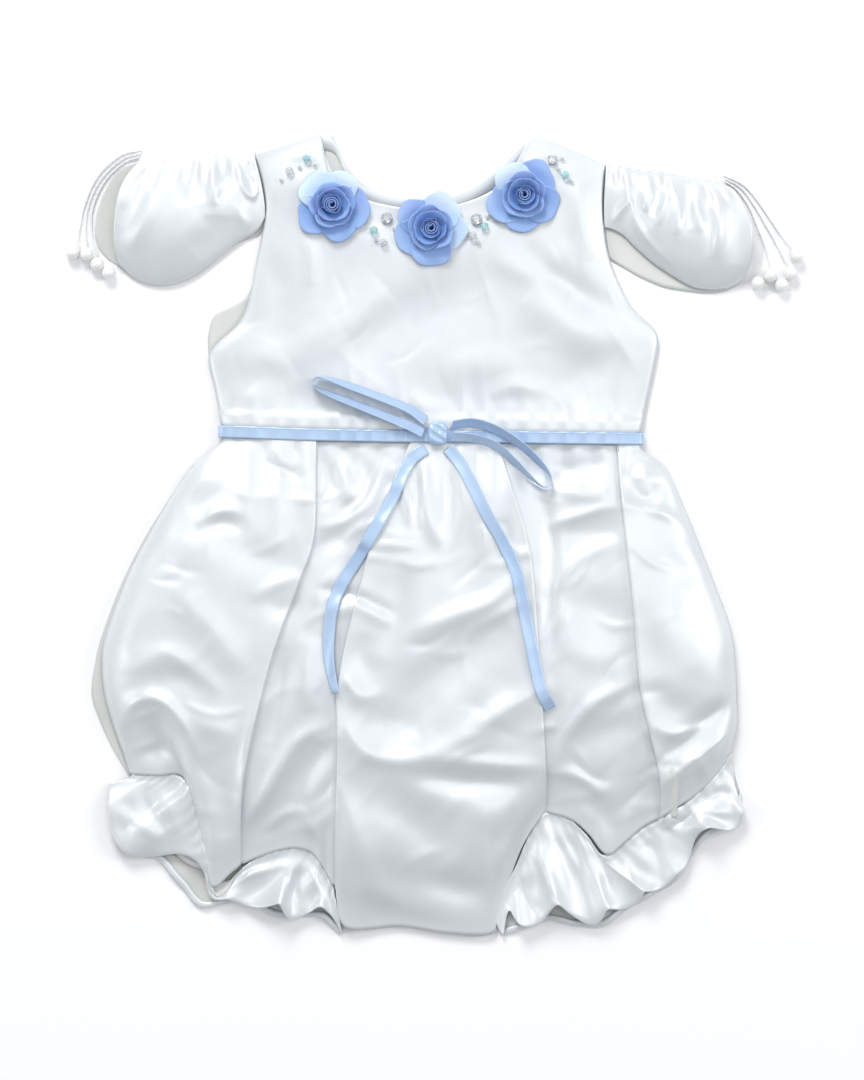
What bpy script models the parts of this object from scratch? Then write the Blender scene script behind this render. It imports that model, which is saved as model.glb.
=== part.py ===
"""A satin baby romper laid flat: bodice, puff sleeves, pleated bloomer, leg frills, tie, roses and pearls."""

import math

import bpy
import numpy as np
from mathutils import Vector
from mathutils.bvhtree import BVHTree

# Sizes, in millimetres. The garment lies on the floor, neck towards +Y, front up.
MM = 0.001
CLOTH = 1.0
SEAM_GAP = 0.3
LAYER_GAP = 0.45
BACK_TOP = CLOTH
REST_MID = BACK_TOP + LAYER_GAP + CLOTH / 2
WAIST_MID = 7.2
WAIST_FLAT = 5.0
BODICE_PUFF = 2.8
BLOOMER_PUFF = 13.0
LEG_MID = 7.0
SIDE_ROUND = 36.0
PLEAT_STEP = 1.6
PLEAT_UNDER = 9.0
RIBBON_WIDTH = 6.5
RIBBON_THICK = 0.9
RIBBON_LIFT = 1.5
BACK_SPREAD = 4.0
KNOT_SIZE = (11.5, 12.5, 5.5)
ROSE_WIDTH = 39.0
ROSE_HEIGHT = 11.0
ROSE_PETALS = 5
PEARL_WIDTH = 7.4
BEAD_WIDTH = 4.6
STONE_WIDTH = 6.4
STRING_WIDTH = 1.2
STRING_POINTS = 12
STRING_FLOOR = 0.65
SLEEVE_TURN = 1.1
SLEEVE_PUFF = 11.0
SLEEVE_GATHERS = 7
SLEEVE_AWAY = 0.9
FRILL_RISE = 9.0
FRILL_AWAY = 0.7

# Outlines seen from above, columns x and y.
WAIST = [(-108.3, 55.5), (-66, 53.9), (-28, 53.1), (4, 52.8), (52.6, 52.3), (117.4, 51.5)]
BODICE_LEFT = [(-108.3, 55.5), (-112.6, 78.7), (-115.9, 94.9), (-111.6, 103), (-99.7, 114.4), (-94.3, 126.3),
               (-91, 142.5), (-87.8, 158.7), (-85.1, 173.2), (-86.7, 188.4), (-91, 206.2)]
BODICE_LEFT_BACK = [(-108.3, 55.5), (-112.6, 78.7), (-116.2, 97.6), (-115.9, 110.1), (-112.6, 118.7),
                    (-105.1, 122.5), (-96.4, 127.9), (-91.6, 138.1), (-87.8, 158.7), (-85.1, 173.2),
                    (-86.7, 188.4), (-91, 206.2)]
BODICE_RIGHT = [(117.4, 51.5), (121.7, 72.3), (125.5, 90.1), (127.7, 104.7), (124.4, 112.2), (117.9, 118.2),
                (110.7, 127.3), (101.7, 147.9), (98.5, 165.1), (98, 180.3), (99, 199.7)]
NECK = [(-91, 206.2), (-71.6, 212.7), (-56.5, 217.2), (-54.3, 208.9), (-47.3, 193.8), (-33.8, 182.4),
        (-14.9, 177), (4, 175.9), (22.9, 179.2), (39.1, 186.7), (49.9, 199.2), (56.4, 211.6), (61.2, 215.4),
        (76.4, 209.4), (99, 199.7)]
NECK_BACK = [(-91, 206.2), (-71.6, 212.7), (-56.5, 217.2), (-47.8, 214.3), (-43, 201.9), (-31.6, 188.9),
             (-8.4, 183), (7.2, 183), (19.1, 185.7), (32.1, 192.1), (44.5, 201.9), (51.5, 210), (61.2, 215.4),
             (76.4, 209.4), (99, 199.7)]
SIDE_LEFT = [(-108.3, 55.5), (-109.2, 49.8), (-117.5, 43.6), (-128.8, 31.8), (-145.6, 4.8), (-160.2, -23.3), (-171.5, -54.1),
             (-173.9, -70.3), (-172.6, -86.5), (-168.3, -102.7), (-162.9, -117.8), (-158.8, -130.2)]
SIDE_LEFT_BACK = [(-108.3, 55.5), (-109.2, 49.8), (-117.5, 43.6), (-128.8, 31.8), (-146.7, 4.8), (-161.8, -23.3),
                  (-173.7, -54.1), (-178, -71.9), (-179.6, -87), (-175.8, -99.5), (-169.3, -114),
                  (-158.8, -132.4)]
SIDE_RIGHT = [(117.4, 51.5), (118.6, 46.0), (125.0, 41.4), (132.6, 34.6), (143.9, 9.1), (157.4, -24.9), (166.8, -50.9),
              (169.5, -69.8), (170.3, -90.3), (170.3, -104.3), (165.5, -121.6)]
PLEATS = [
    [(-57.6, 53.6), (-57.6, 37.2), (-58.6, -1.2), (-66.7, -26.6), (-80.8, -65.4), (-93.2, -115.1),
     (-97.5, -142.7), (-98.6, -179.4)],
    [(-5.7, 52.8), (-16.5, 24.7), (-26.2, -0.6), (-39.2, -49.8), (-45.7, -82.7), (-45.7, -116.2),
     (-46.8, -154.5), (-47.3, -192.3)],
    [(40.7, 52.3), (45, 35.5), (55.3, 2.1), (59.6, -23.3), (63.9, -84.3), (66.6, -132.4), (66.1, -150.2)],
    [(105, 51.7), (107.7, 15.6), (113.6, -40.6), (117.4, -84.3), (127.7, -130.2), (128.7, -153.5)],
]
LOWER_EDGES = [
    [(-158.8, -130.2), (-142.9, -130.8), (-128.8, -131.9), (-121.3, -157.8), (-115.3, -185.9),
     (-112.1, -191.3), (-104, -183.7), (-98.6, -179.4)],
    [(-98.6, -179.4), (-90.5, -175.6), (-79.7, -171.8), (-67.3, -170.2), (-57.6, -175.1), (-47.3, -192.3)],
    [(-47.3, -192.3), (-41.4, -213.4), (-12.2, -212.9), (13.2, -216.6), (36.4, -217.2), (40.7, -209.6),
     (49.9, -179.4), (56.9, -163.7), (66.1, -150.2)],
    [(66.1, -150.2), (81.2, -155.1), (90.4, -163.2), (100.1, -174), (109.3, -167), (119, -158.9),
     (128.7, -153.5)],
    [(128.7, -153.5), (139, -147), (149.8, -139.4), (158.4, -130.8), (165.5, -121.6)],
]
BACK_LOWER = [(-158.8, -132.4), (-147.2, -151.8), (-135.3, -169.7), (-120.2, -179.4), (-98.6, -177.2),
              (-71.6, -181), (-52.7, -196.1), (-41.4, -213.9), (-12.2, -213.2), (13.2, -216.4), (36.4, -216.7),
              (40.7, -211.2), (49.9, -196.1), (74.2, -182.6), (101.2, -186.9), (122.8, -176.1),
              (144.4, -152.4), (157.9, -138.3), (165.5, -121.6)]

# Leg frills, columns: gathered edge x and y, hem x and y.
FRILLS = {
    "frill_front_left": [
        (-159.1, -132.4, -169.3, -135.1), (-152.1, -133.5, -171, -150.2), (-142.9, -133.5, -165.6, -172.4),
        (-134.2, -134, -147.2, -174.5), (-128.3, -141, -125.6, -171.8), (-124, -156.2, -118.6, -174.5),
        (-120.2, -173.4, -117, -189.1), (-113.7, -194, -113.2, -197.7), (-102.9, -186.9, -100.8, -199.4),
        (-91, -179.4, -86.7, -204.8), (-78.6, -175.1, -73.2, -210.2), (-66.7, -173.4, -61.9, -205.3),
        (-58.1, -178.3, -55.4, -202.1), (-51.1, -190.7, -48.9, -206.9), (-44.6, -211.2, -43.5, -216.6)],
    "frill_front_right": [
        (41.3, -214.5, 43.4, -217.2), (45, -197.2, 46.7, -203.7), (52.1, -182.1, 54.2, -214.5),
        (58.5, -167, 63.9, -211.8), (67.2, -154, 72, -208), (80.1, -158.3, 83.4, -211.2),
        (89.3, -166.4, 95.8, -212.3), (100.1, -177.8, 106.6, -205.3), (110.9, -170.2, 118.5, -198.3),
        (121.2, -162.6, 129.8, -191.8), (131.2, -157.4, 141.2, -182.6), (142.0, -151.0, 149.8, -163.2),
        (151.4, -142.1, 168.7, -160.5), (160.1, -133.5, 174.1, -150.8), (167.6, -123.2, 170.3, -141.6)],
}
BACK_FRILLS = {
    "frill_back_left": [
        (-160.7, -135.1, -167.7, -142.1), (-148.8, -154.5, -155.3, -171.8), (-136.4, -172.4, -142.9, -176.7),
        (-122.9, -181.5, -132.1, -189.1), (-111.6, -181, -120.7, -201.5), (-98.6, -179.4, -108.3, -200.4),
        (-86.7, -180.5, -95.4, -198.3), (-72.1, -183.2, -82.4, -206.4), (-59.7, -191.8, -67.3, -207.5),
        (-51.1, -201, -54.9, -207.5), (-43.5, -214.6, -44.6, -217.0)],
    "frill_back_right": [
        (42.9, -213.4, 44.5, -217.2), (52.1, -197.7, 55.8, -213.4), (63.9, -190.2, 69.9, -209.1),
        (75.8, -184.8, 85, -212.3), (90.4, -187.5, 98, -212.3), (102.8, -189.6, 110.9, -203.1),
        (119, -182.6, 125.5, -195), (131.4, -170.7, 139, -185.9), (145.5, -155.1, 152, -165.9),
        (158.4, -141, 169.2, -154), (167.1, -124.3, 173, -141.6)],
}

# Sleeves: top fold, front and back lower edges, front and back mouth edges, columns x and y.
SLEEVES = {
    "sleeve_left": dict(
        top=[(-92.1, 203.5), (-102.4, 204), (-110.7, 205.6), (-119.8, 206.7), (-127.2, 206.2), (-134.2, 203.5),
             (-142.9, 201.9), (-153.7, 201.9)],
        lower=[(-86.7, 171.6), (-91, 164.3), (-102.4, 157), (-119.7, 143), (-129.9, 137.1), (-138, 134.9),
               (-147.2, 135.4), (-156.4, 139.2), (-165.3, 146.8)],
        lower_back=[(-86.7, 168.4), (-90, 161.9), (-102.4, 156.5), (-119.7, 142.5), (-129.9, 137.1),
                    (-138, 134.9), (-147.2, 135.4), (-156.4, 139.2), (-165.8, 146.2)],
        mouth=[(-165.3, 146.8), (-166.9, 156), (-166.6, 168.4), (-164.5, 183), (-160.2, 193.2),
               (-153.7, 201.9)],
        mouth_back=[(-165.8, 146.2), (-172.6, 151.1), (-177.4, 159.7), (-176.9, 173.2), (-172.6, 185.7),
                    (-165, 197), (-153.7, 201.9)]),
    "sleeve_right": dict(
        top=[(100.1, 198.6), (107.7, 198.6), (115.2, 197), (122.8, 195.9), (130.4, 195.4), (143.3, 192.7),
             (153, 191.1), (163.3, 189.4)],
        lower=[(99.2, 166.2), (103.4, 165.1), (109.3, 161.9), (116.3, 154.9), (127.7, 145.2), (144.4, 134.9),
               (153, 132.7), (162.2, 132.7), (169.2, 134.9), (174.1, 138.1)],
        lower_back=[(102.2, 148.9), (112, 143), (119.6, 138.7), (131.4, 133.8), (143.3, 131.7), (153, 130.6),
                    (162.2, 131.1), (169.2, 133.8), (174.1, 137.6)],
        mouth=[(174.1, 138.1), (177.4, 147.3), (178.3, 157.6), (177.2, 167.8), (173.6, 178.1), (168.7, 185.7),
               (163.3, 189.4)],
        mouth_back=[(174.1, 137.6), (177.7, 147.3), (178.6, 157.6), (177.5, 167.8), (174, 178.1),
                    (169.1, 185.7), (163.3, 189.4)]),
}

# Soft ridges and troughs of the bloomer front, columns: from x, y, to x, y, half width, rise.
CREASES = [
    (-160, -100, -150, -89, 6, 2.2), (-150, -89, -130, -106, 6, 2.2), (-149, -106, -134, -118, 8, -3.0),
    (-50, -104, -70, -112, 6, 2.4), (-70, -112, -86, -142, 7, 2.6), (-88, -79, -97, -140, 5, 1.8),
    (-52, -28, -14, -44, 6, -1.6), (53, -28, 19, -53, 7, 1.8), (60, -84, 12, -128, 8, 2.4),
    (-12, -122, 60, -123, 6, 2.2), (0, -134, 48, -136, 7, -3.0), (-30, -180, 32, -212, 8, 2.6),
    (0, -60, 45, -100, 15, -3.2), (-120, 4, -90, 10, 8, -1.8), (67, 4, 104, 17, 6, 1.5),
    (102, -85, 72, -117, 6, 2.2), (112, 12, 142, 8, 5, 1.6), (130, -130, 168, -97, 7, -3.2),
    (-130, 0, -95, -60, 14, 1.8), (140, -20, 150, -80, 12, 1.6), (-10, 20, 20, -5, 12, 1.4),
]

# Ribbon routes, columns: x, y, lean in degrees.
BOW = {
    "bow_loop_left": [
        (0.6, 54.6, 30), (-9.5, 59.0, 45), (-25.7, 65.6, 50), (-41.9, 72.0, 55), (-54.3, 76.9, 70),
        (-59.6, 80.6, 90), (-57.4, 84.2, 90), (-52.0, 83.8, 75), (-39.2, 79.6, 55), (-22.8, 73.6, 50),
        (-7.8, 67.5, 45), (1.8, 61.0, 30)],
    "bow_loop_right": [
        (15.6, 52.6, 30), (28.3, 51.6, 45), (39.6, 47.6, 50), (48.8, 40.0, 55), (57.4, 31.8, 70),
        (65.2, 25.6, 90), (69.6, 27.2, 90), (67.7, 34.0, 75), (58.6, 43.6, 55), (47.2, 52.2, 50),
        (36.4, 57.8, 45), (25.6, 60.2, 40), (15.8, 58.8, 30)],
}
TAILS = {
    "ribbon_tail_left": [
        (1.6, 46.2, 0), (-5.7, 40.6, 0), (-11.1, 31.8, 5), (-16, 19.9, 10), (-24.1, 5.3, 10), (-33.8, -11.4, 5),
        (-43, -26, 0), (-48.4, -39, 10), (-50.5, -57.3, 20), (-49.5, -72.5, 35), (-46.2, -85.4, 60)],
    "ribbon_tail_right": [
        (13.9, 46.2, 0), (20.7, 37.4, 0), (27.2, 25.3, 5), (34.2, 11.2, 10), (42.9, -3.9, 10), (49.9, -19.5, 5),
        (53.7, -35.7, 0), (56.9, -52.5, 0), (60.2, -69.2, -5), (63.4, -83.3, -10), (68.8, -94.1, 0)],
}
KNOT_PLACE = (8.3, 54.4)

# Trims on the bodice, columns: name, x, y, turn in degrees.
ROSES = [("rose_left", -48.9, 177.6, 15), ("rose_centre", 4.5, 165.1, 60), ("rose_right", 54.8, 183, 100)]
BEADS = [("bead_1", -62.6, 203.2), ("bead_2", -72.0, 196.5), ("bead_3", -26.4, 164.2), ("bead_4", -21.0, 157.6),
         ("bead_5", 27.2, 161.2), ("bead_6", 33.5, 166.5), ("bead_7", 77.2, 194.2)]
STONES = [("stone_1", -19.4, 170.8), ("stone_2", 29.2, 170.2), ("stone_3", 70.4, 202.4)]

# Drawstring ends: route x, y; then pearls x, y.
STRINGS = {
    "string_left_1": [(-151.8, 208.3), (-163.9, 205.2), (-175.8, 194.6), (-182.8, 180.4), (-185.8, 167.4),
                      (-187.7, 156.0)],
    "string_left_2": [(-152.6, 206.4), (-163.2, 203.0), (-174.2, 192.8), (-181.0, 178.9), (-182.9, 165.0),
                      (-181.9, 155.6)],
    "string_left_3": [(-153.5, 204.5), (-162.8, 200.8), (-172.6, 191.0), (-179.0, 176.6), (-179.4, 163.0),
                      (-177.2, 155.4), (-176.3, 150.2)],
    "string_right_1": [(163.0, 194.8), (174.4, 189.0), (182.4, 179.6), (189.8, 168.8), (196.2, 159.4),
                       (200.5, 153.9)],
    "string_right_2": [(164.2, 191.2), (170.6, 186.6), (177.0, 177.4), (181.4, 167.0), (186.0, 155.0),
                       (188.1, 144.1)],
    "string_right_3": [(163.6, 193.0), (172.6, 187.8), (179.8, 178.2), (186.8, 166.4), (193.4, 154.4),
                       (198.1, 144.9)],
}
PEARLS = [("pearl_left_1", -189.6, 152.4), ("pearl_left_2", -181.9, 151.6), ("pearl_left_3", -176.3, 146.2),
          ("pearl_left_4", -170.0, 141.6), ("pearl_right_1", 202.5, 150.4), ("pearl_right_2", 188.1, 140.0),
          ("pearl_right_3", 181.6, 135.8), ("pearl_right_4", 199.4, 141.0), ("pearl_right_5", 194.6, 134.8)]

SATIN = ((0.86, 0.89, 0.92), 0.34)
BLUE = ((0.46, 0.62, 0.84), 0.36)
ROSE_BLUE = ((0.30, 0.50, 0.83), 0.5)
AQUA = ((0.62, 0.84, 0.90), 0.1)
SILVER = ((0.75, 0.76, 0.80), 0.15)
PEARL = ((0.93, 0.92, 0.90), 0.22)


def clear_scene():
    for old in list(bpy.data.objects):
        bpy.data.objects.remove(old, do_unlink=True)


def material(name, look):
    """One Principled material from a colour and a roughness."""
    made = bpy.data.materials.new(name)
    made.use_nodes = True
    shader = made.node_tree.nodes["Principled BSDF"]
    colour, roughness = look
    shader.inputs["Base Color"].default_value = (*colour, 1)
    shader.inputs["Roughness"].default_value = roughness
    made.diffuse_color = (*colour, 1)
    return made


def add_mesh(name, points, faces, look):
    """An object from points in millimetres."""
    mesh = bpy.data.meshes.new(name)
    mesh.from_pydata((np.asarray(points) * MM).tolist(), [], faces)
    mesh.update()
    mesh.shade_smooth()
    mesh.set_sharp_from_angle(angle=math.radians(50))
    mesh.materials.append(material(name, look))
    made = bpy.data.objects.new(name, mesh)
    bpy.context.scene.collection.objects.link(made)
    return made


def curve_at(points, places):
    """Points of a smooth curve through the given ones, at fractions of its length."""
    points = np.asarray(points, float)
    ends = np.vstack([2 * points[0] - points[1], points, 2 * points[-1] - points[-2]])
    dense = []
    steps = np.linspace(0, 1, 12, endpoint=False)[:, None]
    for a, b, c, d in zip(ends, ends[1:], ends[2:], ends[3:]):
        bend = (2 * b + (c - a) * steps + (2 * a - 5 * b + 4 * c - d) * steps**2
                + (3 * b - a - 3 * c + d) * steps**3)
        dense.append(bend / 2)
    dense = np.vstack([*dense, points[-1:]])
    length = np.concatenate([[0], np.cumsum(np.linalg.norm(np.diff(dense[:, :2], axis=0), axis=1))])
    return np.stack([np.interp(np.asarray(places) * length[-1], length, axis) for axis in dense.T], axis=-1)


def smooth_step(value):
    value = np.clip(value, 0, 1)
    return value * value * (3 - 2 * value)


def normals_of(grid):
    """Unit normals of a grid of points, from its own differences."""
    along = np.gradient(grid, axis=1)
    across = np.gradient(grid, axis=0)
    found = np.cross(along, across)
    return found / np.maximum(np.linalg.norm(found, axis=-1, keepdims=True), 1e-9)


def wall(name, outer, inner, look, ring=False):
    """A closed wall between two grids of points: rows by columns, the rows closed into rings if asked."""
    rows, columns = outer.shape[:2]
    place = np.arange(rows * columns).reshape(rows, columns)
    far = place + rows * columns
    if ring:
        place = np.hstack([place, place[:, :1]])
        far = np.hstack([far, far[:, :1]])

    def quads(a, b, c, d):
        return np.stack([a, b, c, d], axis=-1).reshape(-1, 4)

    faces = [
        quads(place[:-1, :-1], place[:-1, 1:], place[1:, 1:], place[1:, :-1]),
        quads(far[:-1, :-1], far[1:, :-1], far[1:, 1:], far[:-1, 1:]),
        quads(place[0, :-1], far[0, :-1], far[0, 1:], place[0, 1:]),
        quads(place[-1, :-1], place[-1, 1:], far[-1, 1:], far[-1, :-1]),
    ]
    if not ring:
        faces.append(quads(place[:-1, 0], place[1:, 0], far[1:, 0], far[:-1, 0]))
        faces.append(quads(place[:-1, -1], far[:-1, -1], far[1:, -1], place[1:, -1]))
    faces = np.vstack(faces)
    points = np.vstack([outer.reshape(-1, 3), inner.reshape(-1, 3)])
    corners = points[faces]
    volume = np.einsum("ij,ij->i", corners[:, 0], np.cross(corners[:, 1], corners[:, 2])).sum()
    volume += np.einsum("ij,ij->i", corners[:, 0], np.cross(corners[:, 2], corners[:, 3])).sum()
    if volume < 0:
        faces = faces[:, ::-1]
    return add_mesh(name, points, faces.tolist(), look)


def cloth(name, mid, look, thick=CLOTH, ring=False):
    """A wall of even thickness on both sides of a grid of points."""
    out = normals_of(mid) * thick / 2
    return wall(name, mid + out, mid - out, look, ring)


def panel(left, right, top, bottom, across, down):
    """Places in a panel between four edges. Rows run from the top, columns from the left."""
    s = np.asarray(across)[None, :, None]
    v = np.asarray(down)[:, None, None]
    start = curve_at(left, down)[:, None, :2]
    end = curve_at(right, down)[:, None, :2]
    upper = np.asarray(top)[None, :, :2]
    lower = np.asarray(bottom)[None, :, :2]
    straight_top = (1 - s) * start[:1] + s * end[:1]
    straight_bottom = (1 - s) * start[-1:] + s * end[-1:]
    return (1 - s) * start + s * end + (1 - v) ** 2 * (upper - straight_top) + v**2 * (lower - straight_bottom)


def crease_rise(x, y, table):
    """Soft ridges and troughs: each falls off as a bell beside its line and fades past its ends."""
    total = np.zeros_like(x)
    for x0, y0, x1, y1, half_width, rise in table:
        dx, dy = x1 - x0, y1 - y0
        along = np.clip(((x - x0) * dx + (y - y0) * dy) / (dx * dx + dy * dy), 0, 1)
        away = np.hypot(x - x0 - along * dx, y - y0 - along * dy)
        total += rise * np.exp(-((away / half_width) ** 2)) * (0.45 + 0.55 * np.sin(math.pi * along))
    return total


def waist_part(start_x, end_x, places):
    """The stretch of the waist seam between two x values."""
    full = curve_at(WAIST, np.linspace(0, 1, 160))
    x = start_x + (end_x - start_x) * np.asarray(places)
    return np.stack([x, np.interp(x, full[:, 0], full[:, 1])], axis=-1)


def back_lift(y, x, spread=0.0):
    """The back layer steps up where the ribbon runs under it."""
    away = np.abs(y - np.interp(x, *np.array(WAIST).T)) - spread
    return RIBBON_LIFT * (1 - smooth_step((away - RIBBON_WIDTH / 2 - 0.8) / 5.0))


def flat_back(name, plan, look):
    """A back panel: a level wall on the floor, stepped up over the ribbon."""
    lift = back_lift(plan[..., 1], plan[..., 0])
    lower = np.dstack([plan, lift])
    upper = np.dstack([plan, lift + CLOTH])
    return wall(name, upper, lower, look)


def bodice_grid(left, neck, across, down, seam):
    neck_places = np.interp(across, np.linspace(0, 1, 201), curve_fraction(neck))
    top = curve_at(neck, neck_places)
    bottom = waist_part(WAIST[0][0], WAIST[-1][0], across)
    bottom[:, 1] += seam
    return panel(left[::-1], BODICE_RIGHT[::-1], top, bottom, across, down)


def curve_fraction(points):
    """Length fraction of a curve at even steps of its x."""
    dense = curve_at(points, np.linspace(0, 1, 401))
    rising = np.maximum.accumulate(dense[:, 0] + np.linspace(0, 1e-3, 401))
    x = np.linspace(rising[0], rising[-1], 201)
    return np.interp(x, rising, np.linspace(0, 1, 401))


def waist_rows(count, length):
    """Row fractions, with one close row beside the waist seam so that the cloth stays level there."""
    near = WAIST_FLAT / length
    return np.concatenate([[0], np.linspace(near, 1, count)])


def make_bodice():
    across = np.linspace(0, 1, 24)
    down = 1 - waist_rows(13, 150)[::-1]
    plan = bodice_grid(BODICE_LEFT, NECK, across, down, SEAM_GAP / 2)
    x, y = plan[..., 0], plan[..., 1]
    side = np.minimum(x - x[:, :1], x[:, -1:] - x)
    inward = np.sqrt(1 - (1 - np.clip(side / 20, 0, 1)) ** 2)
    above = np.clip((y - y[-1:]) / 22, 0, 1)
    from_neck = smooth_step((y[:1] - y) / 25)
    puff = REST_MID + back_lift(y, x, BACK_SPREAD) + inward * (0.6 + BODICE_PUFF * from_neck)
    z = puff + (WAIST_MID - puff) * (1 - smooth_step(above)) * np.clip(side / 14, 0, 1)
    z[-1] = z[-2]
    cloth("bodice_front", np.dstack([plan, z]), SATIN)

    across = np.linspace(0, 1, 17)
    down = 1 - np.array([0, 4.0, 9.4, 30, 48, 58, 68, 80, 92, 104, 116, 128, 139, 150])[::-1] / 150
    flat_back("bodice_back", bodice_grid(BODICE_LEFT_BACK, NECK_BACK, across, down, SEAM_GAP / 2), SATIN)


def bloomer_height(x, y, v, left_x, right_x, legs):
    """Height of the outer cloth of the bloomer front, down from the waist and in from its side edges."""
    rise = np.interp(v, [0, 0.03, 0.16, 0.4, 0.7, 0.9, 1],
                     [0, 0, 0.5, 0.85, 1.0, 0.8, 0.0]) * BLOOMER_PUFF
    base = WAIST_MID + rise
    base = base + (legs - WAIST_MID) * smooth_step((v - 0.8) / 0.2)
    side = np.minimum(x - left_x, right_x - x)
    inward = np.sqrt(1 - (1 - np.clip(side / SIDE_ROUND, 0, 1)) ** 2)
    bumps = crease_rise(x, y, CREASES) * smooth_step(side / 12) * smooth_step(v / 0.1) * smooth_step((1 - v) / 0.08)
    rest = REST_MID + back_lift(y, x, BACK_SPREAD)
    return rest + (base - rest) * inward + bumps


def pleat_turn(over_left):
    """The fold where one panel turns under the next, columns: sideways shift, drop."""
    r = PLEAT_STEP / 2
    turn = np.radians([0, 90, 180])
    w = PLEAT_UNDER
    outer = np.stack([-r + r * np.sin(turn), -r + r * np.cos(turn)], axis=-1)
    hidden = np.stack([-w + r - r * np.sin(turn), -3 * r + r * np.cos(turn)], axis=-1)
    profile = np.vstack([outer, hidden])
    if not over_left:
        profile = profile[::-1] * (-1, 1)
    return profile


def make_bloomer():
    down = waist_rows(17, 250)
    guides = [SIDE_LEFT, *PLEATS, SIDE_RIGHT]
    columns = [8, 4, 10, 5, 4]
    leg_mid = [LEG_MID, LEG_MID, REST_MID + 0.4, LEG_MID, LEG_MID]
    over_left = [True, False, True, False]
    plans, drops, legs = [], [], []
    for k, count in enumerate(columns):
        recessed = k in (1, 3)
        start, end = (np.array(g, float) for g in guides[k:k + 2])
        across = np.linspace(0, 1, count + 1)
        top = waist_part(start[0, 0], end[0, 0], across)
        top[:, 1] -= SEAM_GAP / 2
        bottom = curve_at(LOWER_EDGES[k], across)
        plan = panel(start, end, top, bottom, across, down)
        leg = np.full(plan.shape[:2], leg_mid[k])
        if k == 2:
            near = np.minimum(across, 1 - across) * 4
            leg = leg_mid[1] + (leg_mid[2] - leg_mid[1]) * smooth_step(np.clip(near, 0, 1))[None, :] + 0 * leg
        first = 0 if k == 0 else 1
        last = count + 1 if k == len(columns) - 1 else count
        if k > 0:
            fold = pleat_turn(over_left[k - 1])
            edge = plan[:, :1]
            shift = np.dstack([fold[None, :, 0] + 0 * edge[..., 0], np.zeros((len(down), len(fold)))])
            plans.append(edge + shift)
            drops.append(np.repeat(fold[None, :, 1], len(down), axis=0))
            edge_leg = legs[-1][:, -1:] if not recessed else leg[:, :1]
            legs.append(np.repeat(edge_leg, len(fold), axis=1))
        plans.append(plan[:, first:last])
        drops.append(np.full((len(down), last - first), -2 * PLEAT_STEP if recessed else 0.0))
        legs.append(leg[:, first:last])
    plan, drop, leg = np.hstack(plans), np.hstack(drops), np.hstack(legs)
    x, y = plan[..., 0], plan[..., 1]
    v = np.repeat(down[:, None], x.shape[1], axis=1)
    z = bloomer_height(x, y, v, x[:, :1], x[:, -1:], leg) + drop
    z = np.maximum(z, REST_MID + back_lift(y, x, BACK_SPREAD) + (drop + 2 * PLEAT_STEP) * (drop < 0))
    return cloth("bloomer_front", np.dstack([plan, z]), SATIN)


def make_bloomer_back():
    across = np.linspace(0, 1, 21)
    down = np.array([0, 4.0, 9.4, 40, 80, 120, 150, 175, 200, 225, 250]) / 250
    top = waist_part(WAIST[0][0], WAIST[-1][0], across)
    top[:, 1] -= SEAM_GAP / 2
    bottom = curve_at(BACK_LOWER, across)
    plan = panel(SIDE_LEFT_BACK, SIDE_RIGHT, top, bottom, across, down)
    flat_back("bloomer_back", plan, SATIN)
    return np.vstack([plan[:-1, 0], plan[-1], plan[-2::-1, -1]])


def seam_beside(places, edge):
    """Places moved to a seam's gap from the nearest part of a panel's edge."""
    start, step = edge[:-1][None], np.diff(edge, axis=0)[None]
    length = np.maximum((step**2).sum(axis=-1), 1e-9)
    along = np.clip(((places[:, None] - start) * step).sum(axis=-1) / length, 0, 1)
    nearest = start + along[..., None] * step
    away = places[:, None] - nearest
    distance = np.linalg.norm(away, axis=-1)
    best = distance.argmin(axis=1)
    rows = np.arange(len(places))
    return nearest[rows, best] + away[rows, best] / distance[rows, best, None] * FRILL_AWAY


def make_frills(back_edge):
    places = np.linspace(0, 1, 39)
    for name, table in FRILLS.items():
        gathered = curve_at([row[:2] for row in table], places)
        hem = curve_at([row[2:] for row in table], places)
        v = np.array([0, 0.3, 0.65, 1])[:, None, None]
        plan = gathered[None] * (1 - v) + hem[None] * v
        wave = np.cos(2 * math.pi * 6 * places)
        height = LEG_MID - 0.6 + v[..., 0] * (FRILL_RISE * (0.25 + 0.5 * wave)[None])
        ends = smooth_step(np.minimum(places, 1 - places) / 0.07)[None]
        z = REST_MID + 1.6 + (height - REST_MID - 1.6) * ends
        cloth(name, np.dstack([plan, z]), SATIN)
    places = np.linspace(0, 1, 31)
    for name, table in BACK_FRILLS.items():
        gathered = seam_beside(curve_at([row[:2] for row in table], places), back_edge)
        hem = curve_at([row[2:] for row in table], places)
        v = np.array([0, 0.5, 1])[:, None, None]
        plan = gathered[None] * (1 - v) + hem[None] * v
        z = v[..., 0] * (0.6 - 0.6 * np.cos(2 * math.pi * 7 * places))[None]
        wall(name, np.dstack([plan, z + CLOTH]), np.dstack([plan, z]), SATIN)


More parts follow.
